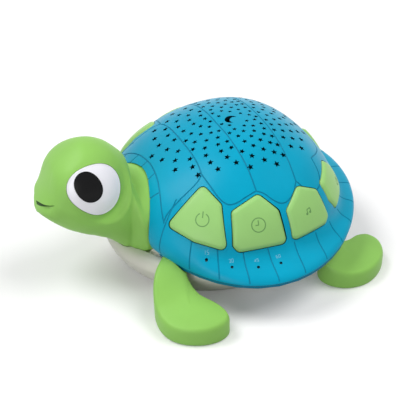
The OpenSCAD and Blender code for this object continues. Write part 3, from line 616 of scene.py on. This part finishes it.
ICON_W, ICON_LIFT, ICON_H = 0.6, 0.03, 0.3
ICONS = {
    "power": [arc(0, 0, 3.7, 118, 422), [[0, 1.0], [0, 4.6]]],
    "timer": [arc(0, 0, 3.9, 0, 180), arc(0, 0, 3.9, 180, 360), [[0, 2.6], [0, 0], [-1.8, 0]]],
    "music": [arc(-1.4, -1.3, 0.5, 0, 360, 14), arc(0.9, -0.9, 0.5, 0, 360, 14),
              arc(-1.4, -1.3, 0.2, 0, 360, 8), arc(0.9, -0.9, 0.2, 0, 360, 8),
              [[-0.9, -1.3], [-0.9, 1.0], [1.4, 1.4], [1.4, -0.9]]],
    "volume": [[[-3.2, -1.1], [-3.2, 1.1], [-1.8, 1.1], [0.2, 2.8], [0.2, -2.8], [-1.8, -1.1],
                [-3.2, -1.1]],
               arc(0.2, 0, 2.2, -45, 45, 10), arc(0.2, 0, 3.9, -48, 48, 12)],
}
# a point on each button's face, where the icon's middle goes
ICON_AT = {"power": (51.2, -43.3, 53.3), "timer": (64.8, -16.2, 50.5), "music": (64.5, 14.5, 50.7),
           "volume": (40.4, 45.2, 47.2)}
for kind, strokes in ICONS.items():
    m = scute_matrix(kind)
    at = np.array((m.inverted() @ Vector(ICON_AT[kind]))[:2])
    parts = []
    for s in strokes:
        s = resample(np.asarray(s, float), step=0.35) + at
        parts.append(ribbon(s, ICON_W, lambda q: float(face_z(q)) + ICON_LIFT, ICON_H))
    v, f = merge(parts)
    ob = fix_normals(add_mesh(f"icon_{kind}", place(v, m), f, INK))
    finish_piece(ob, f"button_{kind}", "leaf_green")

# ---------------------------------------------------------------- cutting the shell
PIN_T, PIN_U, PIN_R = (57, 67, 76.7, 85), 0.42, 0.85
TRANSVERSE = {"A": -33.9, "B": -11.6, "D": 14.5}  # y of the grooves that cross the dome
MOON_R, MOON_AT, MOON_TURN = 3.9, (0.6, -2.6), 48.0
GOLDEN_TURN, STAR_REACH = 137.508, 43.5
STAR_REACHES = [0, 16, 24, 34, 44, 52]
STARS_PER_MM2 = [0.034, 0.033, 0.03, 0.0245, 0.0165, 0.01]
STAR_R, STAR_R_GROWS = 1.36, 0.68  # at the top, and what the radius gains by 44 mm out
STAR_NOTCH, STAR_TURN, LONGER_AHEAD = 0.47, 2.3, 0.22
CLEAR_OF_GROOVE, CLEAR_OF_MOON = 2.1, 2.4
ABOVE_SHELL = 95


def star_places():
    """Stars on a golden spiral that is dense at the top and longer towards the head."""
    out = []
    reach = np.linspace(0, STAR_REACHES[-1], 200)
    share = np.interp(reach, STAR_REACHES, STARS_PER_MM2)
    total = np.concatenate([[0], np.cumsum((share * reach)[1:] * 2 * math.pi * np.diff(reach))])
    for i in range(int(total[np.searchsorted(reach, STAR_REACH)])):
        r = float(np.interp(i + 0.5, total, reach))
        a = GOLDEN_TURN * i + 24
        x, y = r * sind(a), -r * cosd(a)
        if y < 0:
            y *= 1 + LONGER_AHEAD * smoothstep(8, 40, r)
        for line in TRANSVERSE.values():
            if abs(y - line) < CLEAR_OF_GROOVE:
                y = line + math.copysign(CLEAR_OF_GROOVE, y - line)
        if math.hypot(x - MOON_AT[0], y - MOON_AT[1]) > MOON_R + CLEAR_OF_MOON:
            out.append((x, y, STAR_R + STAR_R_GROWS * r / 44, a))
    return out


def star_cutters():
    out = []
    for x, y, r, turned in star_places():
        ang = np.radians(36 * np.arange(10) + STAR_TURN * turned)
        rad = np.where(np.arange(10) % 2 == 0, r, STAR_NOTCH * r)
        out.append(prism(np.c_[x + rad * np.cos(ang), y + rad * np.sin(ang)], FOOT_Z + 6, ABOVE_SHELL))
    return out


def moon_cutter():
    """A thick crescent: a disc with a smaller one taken from the side that it opens to."""
    centre, hollow = 2.3, 3.2  # of the smaller disc
    tip = math.atan2(3.15, 2.3)
    outer = [[MOON_R * math.cos(a), MOON_R * math.sin(a)] for a in np.linspace(tip, 2 * math.pi - tip, 40)]
    bite = math.atan2(outer[0][1], outer[0][0] - centre)
    inner = [[centre + hollow * math.cos(a), hollow * math.sin(a)]
             for a in np.linspace(2 * math.pi - bite, bite, 30)]
    p = np.array(outer + inner[1:-1])
    q, s = cosd(MOON_TURN), sind(MOON_TURN)
    p = np.c_[q * p[:, 0] - s * p[:, 1], s * p[:, 0] + q * p[:, 1]] + MOON_AT
    return prism(p, FOOT_Z + 20, ABOVE_SHELL)


def arch_cutter():
    """The opening over the neck: a half ellipse on straight sides, from outside to past its lip."""
    a = np.linspace(0, 180, 61)
    p = np.vstack([[[ARCH_W, -5]], np.c_[ARCH_W * cosd(a), ARCH_Z + ARCH_H * sind(a)], [[-ARCH_W, -5]]])
    return loft([np.c_[p[:, 0], np.full(len(p), y), p[:, 1]] for y in (-40, -110)])


def windows():
    """The openings of all nine scutes, one gap larger than the caps."""
    out = []
    for kind, outline in OUTLINES.items():
        m = scute_matrix(kind)
        ring = resample(rounded(grown(outline, GAP), CORNER_R + GAP), count=90, closed=True)
        v, f = prism(ring, SKIRT_Z - 2, 9)
        part = place(v, m), f
        out.append(part)
        if kind != "rear":
            out.append(mirror_x(part))
    return out


def pin_cutters():
    """Round holes straight through the brim."""
    out = []
    for t in PIN_T:
        at = np.array([t])
        p = brim_pt(at, np.array([PIN_U]))[0]
        n = skin_normal(at, np.array([1 + PIN_U]))[0]
        a = unit(np.cross(n, [0, 0, 1]))
        b = np.cross(n, a)
        ang = np.radians(np.arange(0, 360, 15))[:, None]
        ring = PIN_R * (np.cos(ang) * a + np.sin(ang) * b)
        out.append(loft([p + ring - 4 * n, p + ring + 2 * n]))
    return out


GROOVE_R, GROOVE_LIFT = 0.48, 0.2


def groove(xy, smooth=True, step=1.2):
    """The tube that cuts a shallow round-bottomed groove along a plan line."""
    line = catmull(xy, 10) if smooth else np.asarray(xy, float)
    line = on_shell(resample(line, step=step))
    return tube(line + [0, 0, GROOVE_LIFT], GROOVE_R)


LINES = {
    "A": [[0, -33.8], [14.5, -33.9], [25, -34.3], [31.2, -35.2]],
    "B": [[0, -11.6], [20, -11.5], [40, -11.3], [53.2, -11.8]],
    "D": [[0, 14.5], [20, 14.4], [40, 13.8], [53, 13]],
    "A_left": [[31.2, -35.2], [33.2, -37.4], [34.6, -40.9], [35.6, -47.6], [36.1, -53.8], [36.5, -58.3],
               [37.6, -61]],
    "A_right": [[31.2, -35.2], [39.9, -33.9], [47.4, -32.2], [51.6, -30], [53.6, -27.2], [54.2, -22.9],
                [53.7, -17.6], [53.2, -11.8]],
    "B_right": [[53.2, -11.8], [55.4, -8], [58.6, -4.6], [60.9, -0.5], [60.6, 4.5], [57.4, 9.6], [53, 13]],
    "D_right": [[53, 13], [56.6, 17.6], [56.8, 23], [53, 28.6], [46, 31.5], [38, 31]],
    "volume_right": [[38, 31], [33, 36.5], [26, 41.6], [18.5, 43.4], [9, 41.5], [0, 40]],
}


def surface_lines():
    """The grooves round the dome's scutes: first those that cross it, then the others."""
    across, along = [], []
    for name, line in LINES.items():
        line = np.asarray(line, float)
        if name in TRANSVERSE:
            across.append(groove(np.vstack([line[:0:-1] * [-1, 1], line])))
        else:
            along += [groove(line * [side, 1]) for side in (1, -1)]
    return across, along


BRIM_GROOVES, BRIM_FIRST, BRIM_STEP, BRIM_FROM = 12, 24.75, 13.5, 30
BRIM_GROOVE_R, BRIM_GROOVE_LIFT = 0.46, 0.18


def brim_lines():
    """The radial grooves of the brim, evenly spaced along the rim."""
    out = []
    t_of = np.linspace(0, 90, 400)
    r_of = t_of - RIM_BEND * sind(2 * t_of)
    for k in range(BRIM_GROOVES):
        r = BRIM_FIRST + BRIM_STEP * k
        t = float(np.interp(r, r_of, t_of)) if r < 90 else r
        if t < BRIM_FROM:
            continue
        for side in (1, -1):
            u = np.linspace(0.06, 0.93, 20)
            at = np.full(20, side * t)
            out.append(tube(brim_pt(at, u) + BRIM_GROOVE_LIFT * skin_normal(at, 1 + u), BRIM_GROOVE_R))
    return out


def arch_lines():
    """The groove that runs round the neck arch, and the short ones between it and the lip."""
    outer = np.array([[0, -54], [9, -54.6], [16, -55.7], [23.6, -57.6], [30, -59.5], [34.2, -60.6],
                      [38.4, -61.3]])
    outer = np.vstack([outer[:0:-1] * [-1, 1], outer])
    main = groove(outer)
    short = [groove(p, smooth=False, step=0.8) for p in (
        [[-27.6, -58.7], [-30, -66]], [[-15.4, -55.4], [-15.9, -62]], [[-4.3, -54.1], [-3.4, -62]],
        [[8.8, -54.5], [10, -62]], [[23.2, -57.4], [20.6, -64]])]
    return main, short


across, along = surface_lines()
arch_main, arch_short = arch_lines()
cut(shell, [arch_cutter()], TEAL)
# the walls of the scute openings, stars, moon and pin holes get painted shade, a near-black teal
cut(shell, windows(), HOLE_SHADE)
for batch in (star_cutters(), [moon_cutter(), *pin_cutters()]):
    cut(shell, batch, HOLE_SHADE)
# the faces inside the grooves get painted shade, a darker teal
for tool in (*across, arch_main, *arch_short, *along):
    cut(shell, [tool], GROOVE_SHADE)
cut(shell, brim_lines(), GROOVE_SHADE)
finish_piece(shell, "casing", "shell_teal", "shell", angle=38)

# ---------------------------------------------------------------- head
HEAD_REACH, HEAD_Z = 96.0, 62.5
# cross-sections from nose to neck: how far ahead of HEAD_REACH, middle, height, half width, power of the
# lower half, depth, and how far the top leans back
SECTIONS = np.array([
    [27.3, -9.3, 0.3, 0.3, 0.95, 0.3, 0], [27.1, -9.6, 1.9, 3.2, 0.95, 1.8, 0],
    [26.6, -8.5, 3.1, 5.6, 0.95, 3, 0], [25, -7.8, 5.6, 10.5, 0.95, 4.9, 0],
    [21, -6.5, 10.8, 16, 0.9, 10, 0], [15, -3.2, 18.7, 20.5, 0.88, 19, 0],
    [8, -2.7, 23.7, 24, 0.86, 23.9, 0], [0, -2.2, 27, 25.2, 0.84, 28.8, 0],
    [-7, -3.6, 28.5, 25.2, 0.8, 31, 0.1], [-14, -8.8, 29.8, 25, 0.77, 31.2, 2.6],
    [-18.5, -13.7, 28.9, 24.3, 0.75, 30.8, 4.4], [-20.8, -16.6, 27.4, 23.9, 0.74, 28.8, 5.6],
    [-22.4, -18.8, 26.8, 24.8, 0.73, 28.8, 3.2], [-24, -20.8, 25, 27, 0.71, 25.4, 1.4],
    [-26, -22.9, 22.6, 29.3, 0.66, 22.7, 0.5], [-28, -24, 21.1, 30.2, 0.62, 21.1, 0.2],
    [-32, -24, 21.1, 30.3, 0.62, 21.1, 0], [-39, -24, 21.1, 30.3, 0.62, 21.1, 0]])
UPPER_POWER = 0.97
# centre of each outline, and the waves that make it egg-shaped
EYE_FORM = ((0.42, 0.54), {2: (-0.28, 0.54), 3: (0.56, 0.42)})
PUPIL_FORM = ((-0.76, -0.03), {2: (0.6, 0.66)})


def facing(tilt, turn):
    """A frame at the head's middle whose Z looks out to the side."""
    return (Matrix.Translation(Vector((0, 1.4 - HEAD_REACH, HEAD_Z)))
            @ Matrix.Rotation(math.radians(turn), 4, "Z") @ Matrix.Rotation(math.radians(tilt), 4, "Y"))


EYE, PUPIL = facing(72, 3), facing(68, -7)
EYE_R, BALL_R, PUPIL_R, EYE_SEAT, SOCKET_GAP = 14.7, 25.1, 8.06, 18.4, 0.25


def oval_radius(a, radius, waves):
    """The radius of an eye disc's slightly egg-shaped outline at each angle."""
    return radius + sum(c * np.cos(k * a) + s * np.sin(k * a) for k, (c, s) in waves.items())


# lines on the skin of the left half: between the lips from the middle to the corner, and along the jaw
LIPS = [[0, -122.7, 56.7], [1.3, -122.5, 57.1], [5.6, -121.5, 58.3], [9.9, -120, 59.3], [12.9, -118.1, 60.4],
        [15.9, -115.8, 61.7]]
LOWER_LIP, UPPER_LIP = 1.5, 0.5  # how far the lips lie in and stand out
JAW = [[20.5, -110.6, 61.5], [22.8, -107.1, 59.2], [24.3, -102.3, 56.1], [24.7, -97.1, 52.4],
       [24.5, -91.4, 49], [24.5, -87, 46.8], [24.7, -82.3, 45.2]]
LIP_REACH_LOW, LIP_REACH_HIGH, JAW_REACH_LOW, JAW_REACH_HIGH = 3.4, 3.0, 2.2, 3.4
FLUSH_FROM, FLUSH_TO = 0.8, 7.5  # from an eye's edge, where the skin is level with it and where it is free
MOUTH_H, MOUTH_DEEP = 2.3, 3.6


def near_line(points, line):
    """Distance from each point to a 3-D line, the height above it and the share of the way along it."""
    p = resample(catmull(line, 6), count=60)
    d = np.linalg.norm(points[:, None, :] - p[None], axis=2)
    i = d.argmin(1)
    return d[np.arange(len(points)), i], points[:, 2] - p[i, 2], i / (len(p) - 1)


def carve_face(v):
    """Sets the lower lip back under the upper one, and raises the jaw's soft edge below the eyes."""
    v = v.copy()
    out = unit((v - [0, -HEAD_REACH, HEAD_Z - 6]) * [1, 1, 0.5])
    a = np.abs(v) * [1, 0, 0] + v * [0, 1, 1]
    d, up, along = near_line(a, LIPS)
    ends = 1 - smoothstep(0.6, 1.0, along)
    lip = np.where(up < 0, -LOWER_LIP * np.exp(-(d / LIP_REACH_LOW) ** 2),
                   UPPER_LIP * np.exp(-(d / LIP_REACH_HIGH) ** 2))
    v += (ends * lip)[:, None] * out
    d, up, along = near_line(a, JAW)
    ends = smoothstep(0, 0.25, along) * (1 - smoothstep(0.6, 1, along))
    v += (ends * np.exp(-(d / np.where(up > 0, JAW_REACH_HIGH, JAW_REACH_LOW)) ** 2))[:, None] * out
    return meet_eyes(v)


def meet_eyes(v):
    """Draws the skin up to the edge of each eye disc, so that the disc sits flush in it."""
    m = np.array(EYE)
    side = np.where(v[:, :1] < 0, -1, 1) * [1, 0, 0] + [0, 1, 1]
    p = (v * side - m[:3, 3]) @ m[:3, :3]
    q = p[:, :2] - EYE_FORM[0]
    gap = np.hypot(q[:, 0], q[:, 1]) - oval_radius(np.arctan2(q[:, 1], q[:, 0]), EYE_R, EYE_FORM[1])
    flush = np.sqrt(np.maximum(BALL_R ** 2 - (p[:, :2] ** 2).sum(1), 0)) - 0.1
    w = (1 - smoothstep(FLUSH_FROM, FLUSH_TO, gap)) * (p[:, 2] > 8)
    p[:, 2] += w * (flush - p[:, 2])
    return (p @ m[:3, :3].T + m[:3, 3]) * side


def mouth_cutter():
    """A wedge along the lips, high and deep in front and thin at both ends."""
    p = np.asarray(LIPS, float)
    p = catmull(np.vstack([p[:0:-1] * [-1, 1, 1], p]), 8)
    out = unit((p - [0, -HEAD_REACH, 58]) * [1, 1, 0.2])
    rings = []
    for q, n, s in zip(p, out, np.linspace(-1, 1, len(p))):
        h = 0.15 + MOUTH_H * (1 - s * s) ** 1.2
        deep = 0.8 + MOUTH_DEEP * (1 - s * s) ** 0.5
        rings.append([q + 2 * n + [0, 0, h * 0.8], q + 2 * n - [0, 0, 1.3 * h], q - deep * n - [0, 0, 0.12],
                      q - deep * n + [0, 0, 0.12]])
    return loft([np.array(r) for r in rings])


def head_part(grow=0.0):
    """The skin of head and neck, or the room that it takes with a clearance."""
    n = SKIN_N
    s = np.concatenate([[0], np.cumsum(np.linalg.norm(np.diff(SECTIONS[:, :5], axis=0), axis=1))])
    q = np.unique(np.concatenate([np.linspace(0, s[-1], 110), np.linspace(0, s[5], 60)]))  # finer at the nose
    cols = [pchip(s, SECTIONS[:, i], q) for i in range(7)]
    a = 360 / n * np.arange(n)
    rings = []
    for o, zc, high, w, low, deep, lean in zip(*cols):
        high, w, deep = high + grow, w + grow, deep + grow
        e = np.where(sind(a) < -0.01, low, UPPER_POWER)
        rings.append(np.c_[w * sgnpow(cosd(a), e), -HEAD_REACH - o + lean * np.maximum(0, sind(a)) ** 1.5,
                           HEAD_Z + zc + np.where(sind(a) > 0, high, deep) * sgnpow(sind(a), e)])
    v, f = loft(rings)
    return carve_face(v), f


def circle(n):
    a = np.arange(n) * 2 * math.pi / n
    return np.c_[np.cos(a), np.sin(a)]


def oval(radius, form, n=128):
    """An egg-shaped outline: its centre, its directions and its radius in each of them."""
    centre, waves = form
    return np.asarray(centre, float), circle(n), oval_radius(np.arange(n) * 2 * math.pi / n, radius, waves)


def eye_disc(matrix, radius, form, ball, edge, low):
    """A disc with a rounded edge whose face lies on a ball round the eye's origin."""
    centre, ring, full = oval(radius, form)
    n = len(ring)

    def row(r, z):
        return np.c_[centre + ring * np.broadcast_to(r, n)[:, None], np.broadcast_to(z, n)]

    inner = centre + ring * (full - edge)[:, None]
    top = np.sqrt(ball ** 2 - (inner ** 2).sum(1))
    rings = [row(full - 0.4, low), row(full, low + 0.4)]
    for a in np.linspace(0, 75, 7):
        rings.append(row(full - edge + edge * cosd(a), top - 0.9 * edge * (1 - sind(a))))
    for k in np.linspace(1, 0.03, 22):
        p = centre + ring * (k * (full - edge))[:, None]
        rings.append(np.c_[p, np.sqrt(ball ** 2 - (p ** 2).sum(1))])
    v, f = loft(rings)
    return place(v, matrix), f


def eye_socket():
    """The pocket that an eye disc sits in."""
    centre, ring, full = oval(EYE_R + SOCKET_GAP, EYE_FORM)
    v, f = prism(centre + ring * full[:, None], EYE_SEAT, EYE_SEAT + 20)
    return place(v, EYE), f


head = fix_normals(add_mesh("head_skin", *head_part(), GREEN))
sockets = [eye_socket()]
sockets.append(mirror_x(sockets[0]))
cut(head, sockets)
cut(head, [mouth_cutter()], MOUTH)
finish_piece(head, "casing", "leaf_green", "head", angle=65)

for side in ("left", "right"):
    white = eye_disc(EYE, EYE_R, EYE_FORM, BALL_R, 0.7, EYE_SEAT - 0.4)
    pupil = eye_disc(PUPIL, PUPIL_R, PUPIL_FORM, BALL_R + 0.3, 0.5, BALL_R - 3.5)
    if side == "right":
        white, pupil = mirror_x(white), mirror_x(pupil)
    ob = fix_normals(add_mesh(f"eye_{side}_white", *white, WHITE))
    finish_piece(ob, "casing", "eye_white", f"eye_white_{side}", angle=60)
    ob = fix_normals(add_mesh(f"eye_{side}_pupil", *pupil, BLACK))
    finish_piece(ob, "casing", "pupil_black", f"pupil_{side}", angle=60)

# ---------------------------------------------------------------- belly and flippers
BELLY_Y, SEAT_GAP, NECK_GAP = 18.0, 0.3, 0.3
# (radius, height) round the belly's axis
BELLY_OUT = [(52.7, 0), (54.3, 0.7), (56, 2.2), (57.8, 3.8), (59.6, 6), (61.2, 8.2), (62.5, 10.4),
             (63.6, 12.6), (64.4, 14.8), (64.85, 16.6), (64.45, 18.6), (63.4, 20.4), (61.6, 22),
             (59.5, 22.85), (57.8, 23.15)]
BELLY_IN = [(57.2, 22.4), (60, 21.2), (62.6, 18.8), (63.5, 16), (62.1, 11.4), (59.4, 7.3), (56.3, 3.4),
            (53.6, 1.2), (48.5, 0.9), (48.5, 0)]
# plan: outline seen from above; top: height by x, or by distance from the belly's axis where radial;
# under: height of the underside by x; slope: fall of the top along y
FRONT = dict(
    plan=[[42, -66.5], [50, -73], [60, -77.5], [71, -78.5], [80, -76], [87, -69.5], [91.5, -60], [92, -51],
          [88.5, -44.5], [82, -43.8], [74, -46.8], [66, -52.4], [58, -55.4], [50, -55.2], [42, -56.5],
          [38, -61]],
    top=[[40, 28.5], [47, 27.5], [52, 25.5], [57, 22], [62, 18], [67, 15], [74, 13.2], [92, 12]],
    under=[[40, 15], [54, 6], [62, 0]], mid=[73, -61], slope=0.09, radial=False)
REAR = dict(
    plan=[[61, 26], [68.5, 23.4], [76.5, 27], [82, 35], [83.3, 45], [80.5, 54], [74.5, 62], [67, 67.3],
          [58.5, 69.2], [51.7, 66], [51, 59], [54.5, 51], [56.5, 43], [53, 35]],
    top=[[66, 28], [74, 25.5], [81, 19], [88, 14], [96, 12], [110, 11]],
    under=[[50, 6], [62, 0]], mid=[68, 44], slope=0.0, radial=True)


def table(points, x):
    """A smooth reading of a CAD table, constant beyond its ends."""
    p = np.asarray(points, float)
    return pchip(p[:, 0], p[:, 1], np.clip(x, p[0, 0], p[-1, 0]))


# rows of a flipper from the middle of its underside over the edge to the middle of its top: share of the
# outline, share of the top's height, and what is added to the height
FLIPPER_ROWS = [(k, 0, 0) for k in (0.15, 0.3, 0.44, 0.58, 0.72, 0.85)] + [
    (0.93, 0, 0.02), (0.965, 0, 0.25), (0.988, 0, 0.9), (1, 0, 2.0), (1, 0.5, -0.4), (1, 1, -4.2),
    (0.997, 1, -3.0), (0.985, 1, -1.85), (0.965, 1, -1.0), (0.94, 1, -0.45), (0.91, 1, -0.15),
    (0.87, 1, 0), (0.7, 1, 0.3), (0.5, 1, 0.55), (0.3, 1, 0.75), (0.12, 1, 0.82)]


def flipper_part(plan, top, under, mid, slope, radial):
    outline = resample(catmull(plan, 12, closed=True), count=160, closed=True)
    mid = np.asarray(mid, float)

    def top_z(p):
        key = np.hypot(p[:, 0], p[:, 1] + BELLY_Y) if radial else p[:, 0]
        return table(top, key) + slope * (p[:, 1] - mid[1])

    rings = []
    for k, w, dz in FLIPPER_ROWS:
        p = mid + k * (outline - mid)
        z = (1 - w) * table(under, p[:, 0]) + w * top_z(p) + dz
        rings.append(np.c_[p, z])
    return loft(rings)


def lathe(rows, closed=False, n=160):
    """A body of revolution about the belly's axis. A closed one is hollow in the middle."""
    c = circle(n)
    rings = [np.c_[c * r, np.full(n, z)] - [0, BELLY_Y, 0] for r, z in rows]
    return ring_body(rings) if closed else loft(rings)


def belly_room():
    """The belly bowl, one seat's clearance larger."""
    rows = catmull(BELLY_OUT, 3) + [SEAT_GAP, 0]
    return lathe([(rows[0][0], -1), *rows, (55.3, 23.2), (55.3, 40)])


def make_belly():
    """A copy of the CAD bowl with all that is inside it, joined to a smooth outer side."""
    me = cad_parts["belly"].data.copy()
    me.name = "belly_bowl"
    bm = bmesh.new()
    bm.from_mesh(me)
    bmesh.ops.remove_doubles(bm, verts=bm.verts, dist=1e-6)
    bm.to_mesh(me)
    bm.free()
    me.materials.clear()
    me.materials.append(CREAM)
    ob = bpy.data.objects.new("belly_bowl", me)
    bpy.context.scene.collection.objects.link(ob)
    fix_normals(ob)
    rows = [*catmull(BELLY_OUT, 3), *BELLY_IN]
    side = fix_normals(add_mesh("belly_side", *lathe(rows, closed=True), CREAM))
    cut(side, [head_part(NECK_GAP)], CREAM)
    join(ob, side, "UNION")
    return finish_piece(ob, "casing", "belly_cream", "belly", angle=15)


def rim_room(z0):
    """The room over a flipper's root, up to just outside the rim."""
    p = inset_rim(np.arange(0, 360, 3.0), -0.6)[:, :2]
    return prism(p, z0, z0 + 30)


make_belly()
ROOT_Z = RIM_Z - 4.7
for name, spec, room in (("front", FRONT, ROOT_Z), ("rear", REAR, ROOT_Z + 1)):
    for side in ("left", "right"):
        part = flipper_part(**spec)
        cuts = [belly_room(), rim_room(room)]
        if side == "right":
            part, cuts = mirror_x(part), [mirror_x(c) for c in cuts]
        ob = fix_normals(add_mesh(f"flipper_{name}_{side}_skin", *part, GREEN))
        for c in cuts:
            cut(ob, [c])
        finish_piece(ob, "casing", "leaf_green", f"flipper_{name}_{side}", angle=40)

# ---------------------------------------------------------------- numbers by the indicator holes
DIGITS = {
    "0": [[0, 0], [1, 0], [1, 2], [0, 2], [0, 0]], "1": [[0.5, 2], [0.5, 0]],
    "3": [[0, 2], [1, 2], [1, 1], [0.2, 1], [1, 1], [1, 0], [0, 0]],
    "4": [[0.8, 0], [0.8, 2], [0, 0.7], [1.1, 0.7]],
    "5": [[1, 2], [0, 2], [0, 1.1], [1, 1.1], [1, 0], [0, 0]],
    "6": [[1, 2], [0, 2], [0, 0], [1, 0], [1, 1], [0, 1]],
}
DIGIT_SIZE, DIGIT_PITCH, DIGIT_R, NUMBER_U = (0.9, 0.62), 1.5, 0.13, 0.25
number_parts = []
for t, word in zip(PIN_T, ("15", "30", "45", "60")):
    at, further = (brim_pt(np.array([t]), np.array([u]))[0] for u in (NUMBER_U, NUMBER_U + 0.1))
    down = unit((further - at) * [1, 1, 0])[:2]
    right = np.array([-down[1], down[0]])
    for i, digit in enumerate(word):
        for a, b in zip(DIGITS[digit][:-1], DIGITS[digit][1:]):
            p = (np.array([a, b], float) - [0.5, 1]) * DIGIT_SIZE + [(i - 0.5) * DIGIT_PITCH, 0]
            line = resample(at[:2] + p[:, :1] * right - p[:, 1:] * down, step=0.4)
            number_parts.append(tube(on_shell(line), DIGIT_R, 6))
ob = fix_normals(add_mesh("timer_numbers", *merge(number_parts), PALE))
finish_piece(ob, "casing", "shell_teal")

# ---------------------------------------------------------------- CAD nodes that show as they are
LOOKS = {"brim_ring": RING, "battery_door": CREAM, "switch_boards": BOARD,
         "tact_switches": SOOT, "main_board": BOARD, "led_tower": SOOT, "led_board": BOARD,
         "projector_leds": LED, "indicator_board": BOARD, "indicator_leds": LED, "light_pipes": SMOKE,
         "speaker": SOOT, "speaker_ring": STEEL, "battery_cells": CELL, "battery_contacts": STEEL,
         "door_screw": STEEL, "case_screws": STEEL}
for node, mat in LOOKS.items():
    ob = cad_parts[node]
    if not ob.material_slots:
        ob.data.materials.append(mat)
    for slot in ob.material_slots:
        slot.material = mat


# ---------------------------------------------------------------- floor, light and camera
FLOOR_Z, FLOOR_HALF, FLOOR_LIFT = -0.03, 3000, 0.1
FADE_FROM, FADE_TO = 0.3, 0.8


def seen_apart(tree, hidden, shown):
    """One shader for light that bounces, another for camera and glossy rays."""
    path = tree.nodes.new("ShaderNodeLightPath")
    seen = tree.nodes.new("ShaderNodeMath")
    seen.operation = "MAXIMUM"
    tree.links.new(path.outputs["Is Camera Ray"], seen.inputs[0])
    tree.links.new(path.outputs["Is Glossy Ray"], seen.inputs[1])
    mix = tree.nodes.new("ShaderNodeMixShader")
    for source, socket in ((seen, 0), (hidden, 1), (shown, 2)):
        tree.links.new(source.outputs[0], mix.inputs[socket])
    return mix.outputs[0]


def floor_material():
    """White for the camera, and still a receiver of the object's shadow. Far off it glows evenly."""
    mat = bpy.data.materials.new("floor_white")
    mat.use_nodes = True
    nt = mat.node_tree
    nodes, link = nt.nodes, nt.links.new
    nodes.clear()
    out = nodes.new("ShaderNodeOutputMaterial")
    plain = nodes.new("ShaderNodeBsdfDiffuse")
    plain.inputs["Color"].default_value = (0.5, 0.5, 0.5, 1)
    bright = nodes.new("ShaderNodeBsdfDiffuse")
    bright.inputs["Color"].default_value = (0.9, 0.9, 0.9, 1)
    glow = nodes.new("ShaderNodeEmission")
    coord = nodes.new("ShaderNodeTexCoord")
    away = nodes.new("ShaderNodeVectorMath")
    away.operation = "LENGTH"
    link(coord.outputs["Object"], away.inputs[0])
    far = nodes.new("ShaderNodeMapRange")
    far.interpolation_type = "SMOOTHSTEP"
    set_inputs(far, {"From Min": FADE_FROM, "From Max": FADE_TO, "To Min": FLOOR_LIFT, "To Max": 1.0})
    link(away.outputs["Value"], far.inputs["Value"])
    link(far.outputs["Result"], glow.inputs["Strength"])
    add = nodes.new("ShaderNodeAddShader")
    link(bright.outputs[0], add.inputs[0])
    link(glow.outputs[0], add.inputs[1])
    link(seen_apart(nt, plain, add), out.inputs["Surface"])
    return mat


h = FLOOR_HALF
floor = add_mesh("floor", [[-h, -h, FLOOR_Z], [h, -h, FLOOR_Z], [h, h, FLOOR_Z], [-h, h, FLOOR_Z]],
                 [(0, 1, 2, 3)], floor_material())

world = bpy.data.worlds.new("studio")
bpy.context.scene.world = world
world.use_nodes = True
nt = world.node_tree
nt.nodes.clear()
sky = nt.nodes.new("ShaderNodeOutputWorld")
fill, backdrop = (nt.nodes.new("ShaderNodeBackground") for _ in range(2))
set_inputs(fill, {"Color": (1, 1, 1, 1), "Strength": 0.3})
set_inputs(backdrop, {"Color": (1, 1, 1, 1), "Strength": 1.0})
nt.links.new(seen_apart(nt, fill, backdrop), sky.inputs["Surface"])


def area(name, at, target, size, power):
    light = bpy.data.lights.new(name, "AREA")
    light.shape = "DISK"
    light.size = size
    light.energy = power
    ob = bpy.data.objects.new(name, light)
    bpy.context.scene.collection.objects.link(ob)
    ob.location = at
    ob.rotation_mode = "QUATERNION"
    ob.rotation_quaternion = (Vector(target) - Vector(at)).to_track_quat("-Z", "Y")
    return ob


area("key_softbox", (0.35, 0.75, 1.25), (0.0, 0.0, 0.03), 1.0, 11.5).visible_glossy = False
area("front_softbox", (-0.32, -0.56, 1.13), (0.0, 0.0, 0.03), 0.7, 8.0)
area("head_side_softbox", (0.75, -0.95, 0.35), (0, -0.03, 0.04), 0.7, 4.5)

# fitted to the photo: angles in degrees, distance in metres, the rest in pixels of its 414
AZIMUTH, ELEVATION, DISTANCE = 64.98, 35.92, 0.60133
FOCAL, SHIFT_X, SHIFT_Y, PIXELS = 944.445, -27.878, 22.479, 414
cam_data = bpy.data.cameras.new("camera")
cam = bpy.data.objects.new("camera", cam_data)
bpy.context.scene.collection.objects.link(cam)
bpy.context.scene.camera = cam
az, el = math.radians(AZIMUTH), math.radians(ELEVATION)
back = Vector((math.sin(az) * math.cos(el), -math.cos(az) * math.cos(el), math.sin(el)))
cam.location = back * DISTANCE + Vector(HOME) * MM
cam.rotation_mode = "QUATERNION"
cam.rotation_quaternion = (-back).to_track_quat("-Z", "Y")
cam_data.sensor_width = 36
cam_data.lens = FOCAL / PIXELS * 36
cam_data.shift_x, cam_data.shift_y = SHIFT_X / PIXELS, SHIFT_Y / PIXELS
cam_data.clip_start, cam_data.clip_end = 0.01, 50
bpy.context.scene.view_settings.view_transform = "Standard"
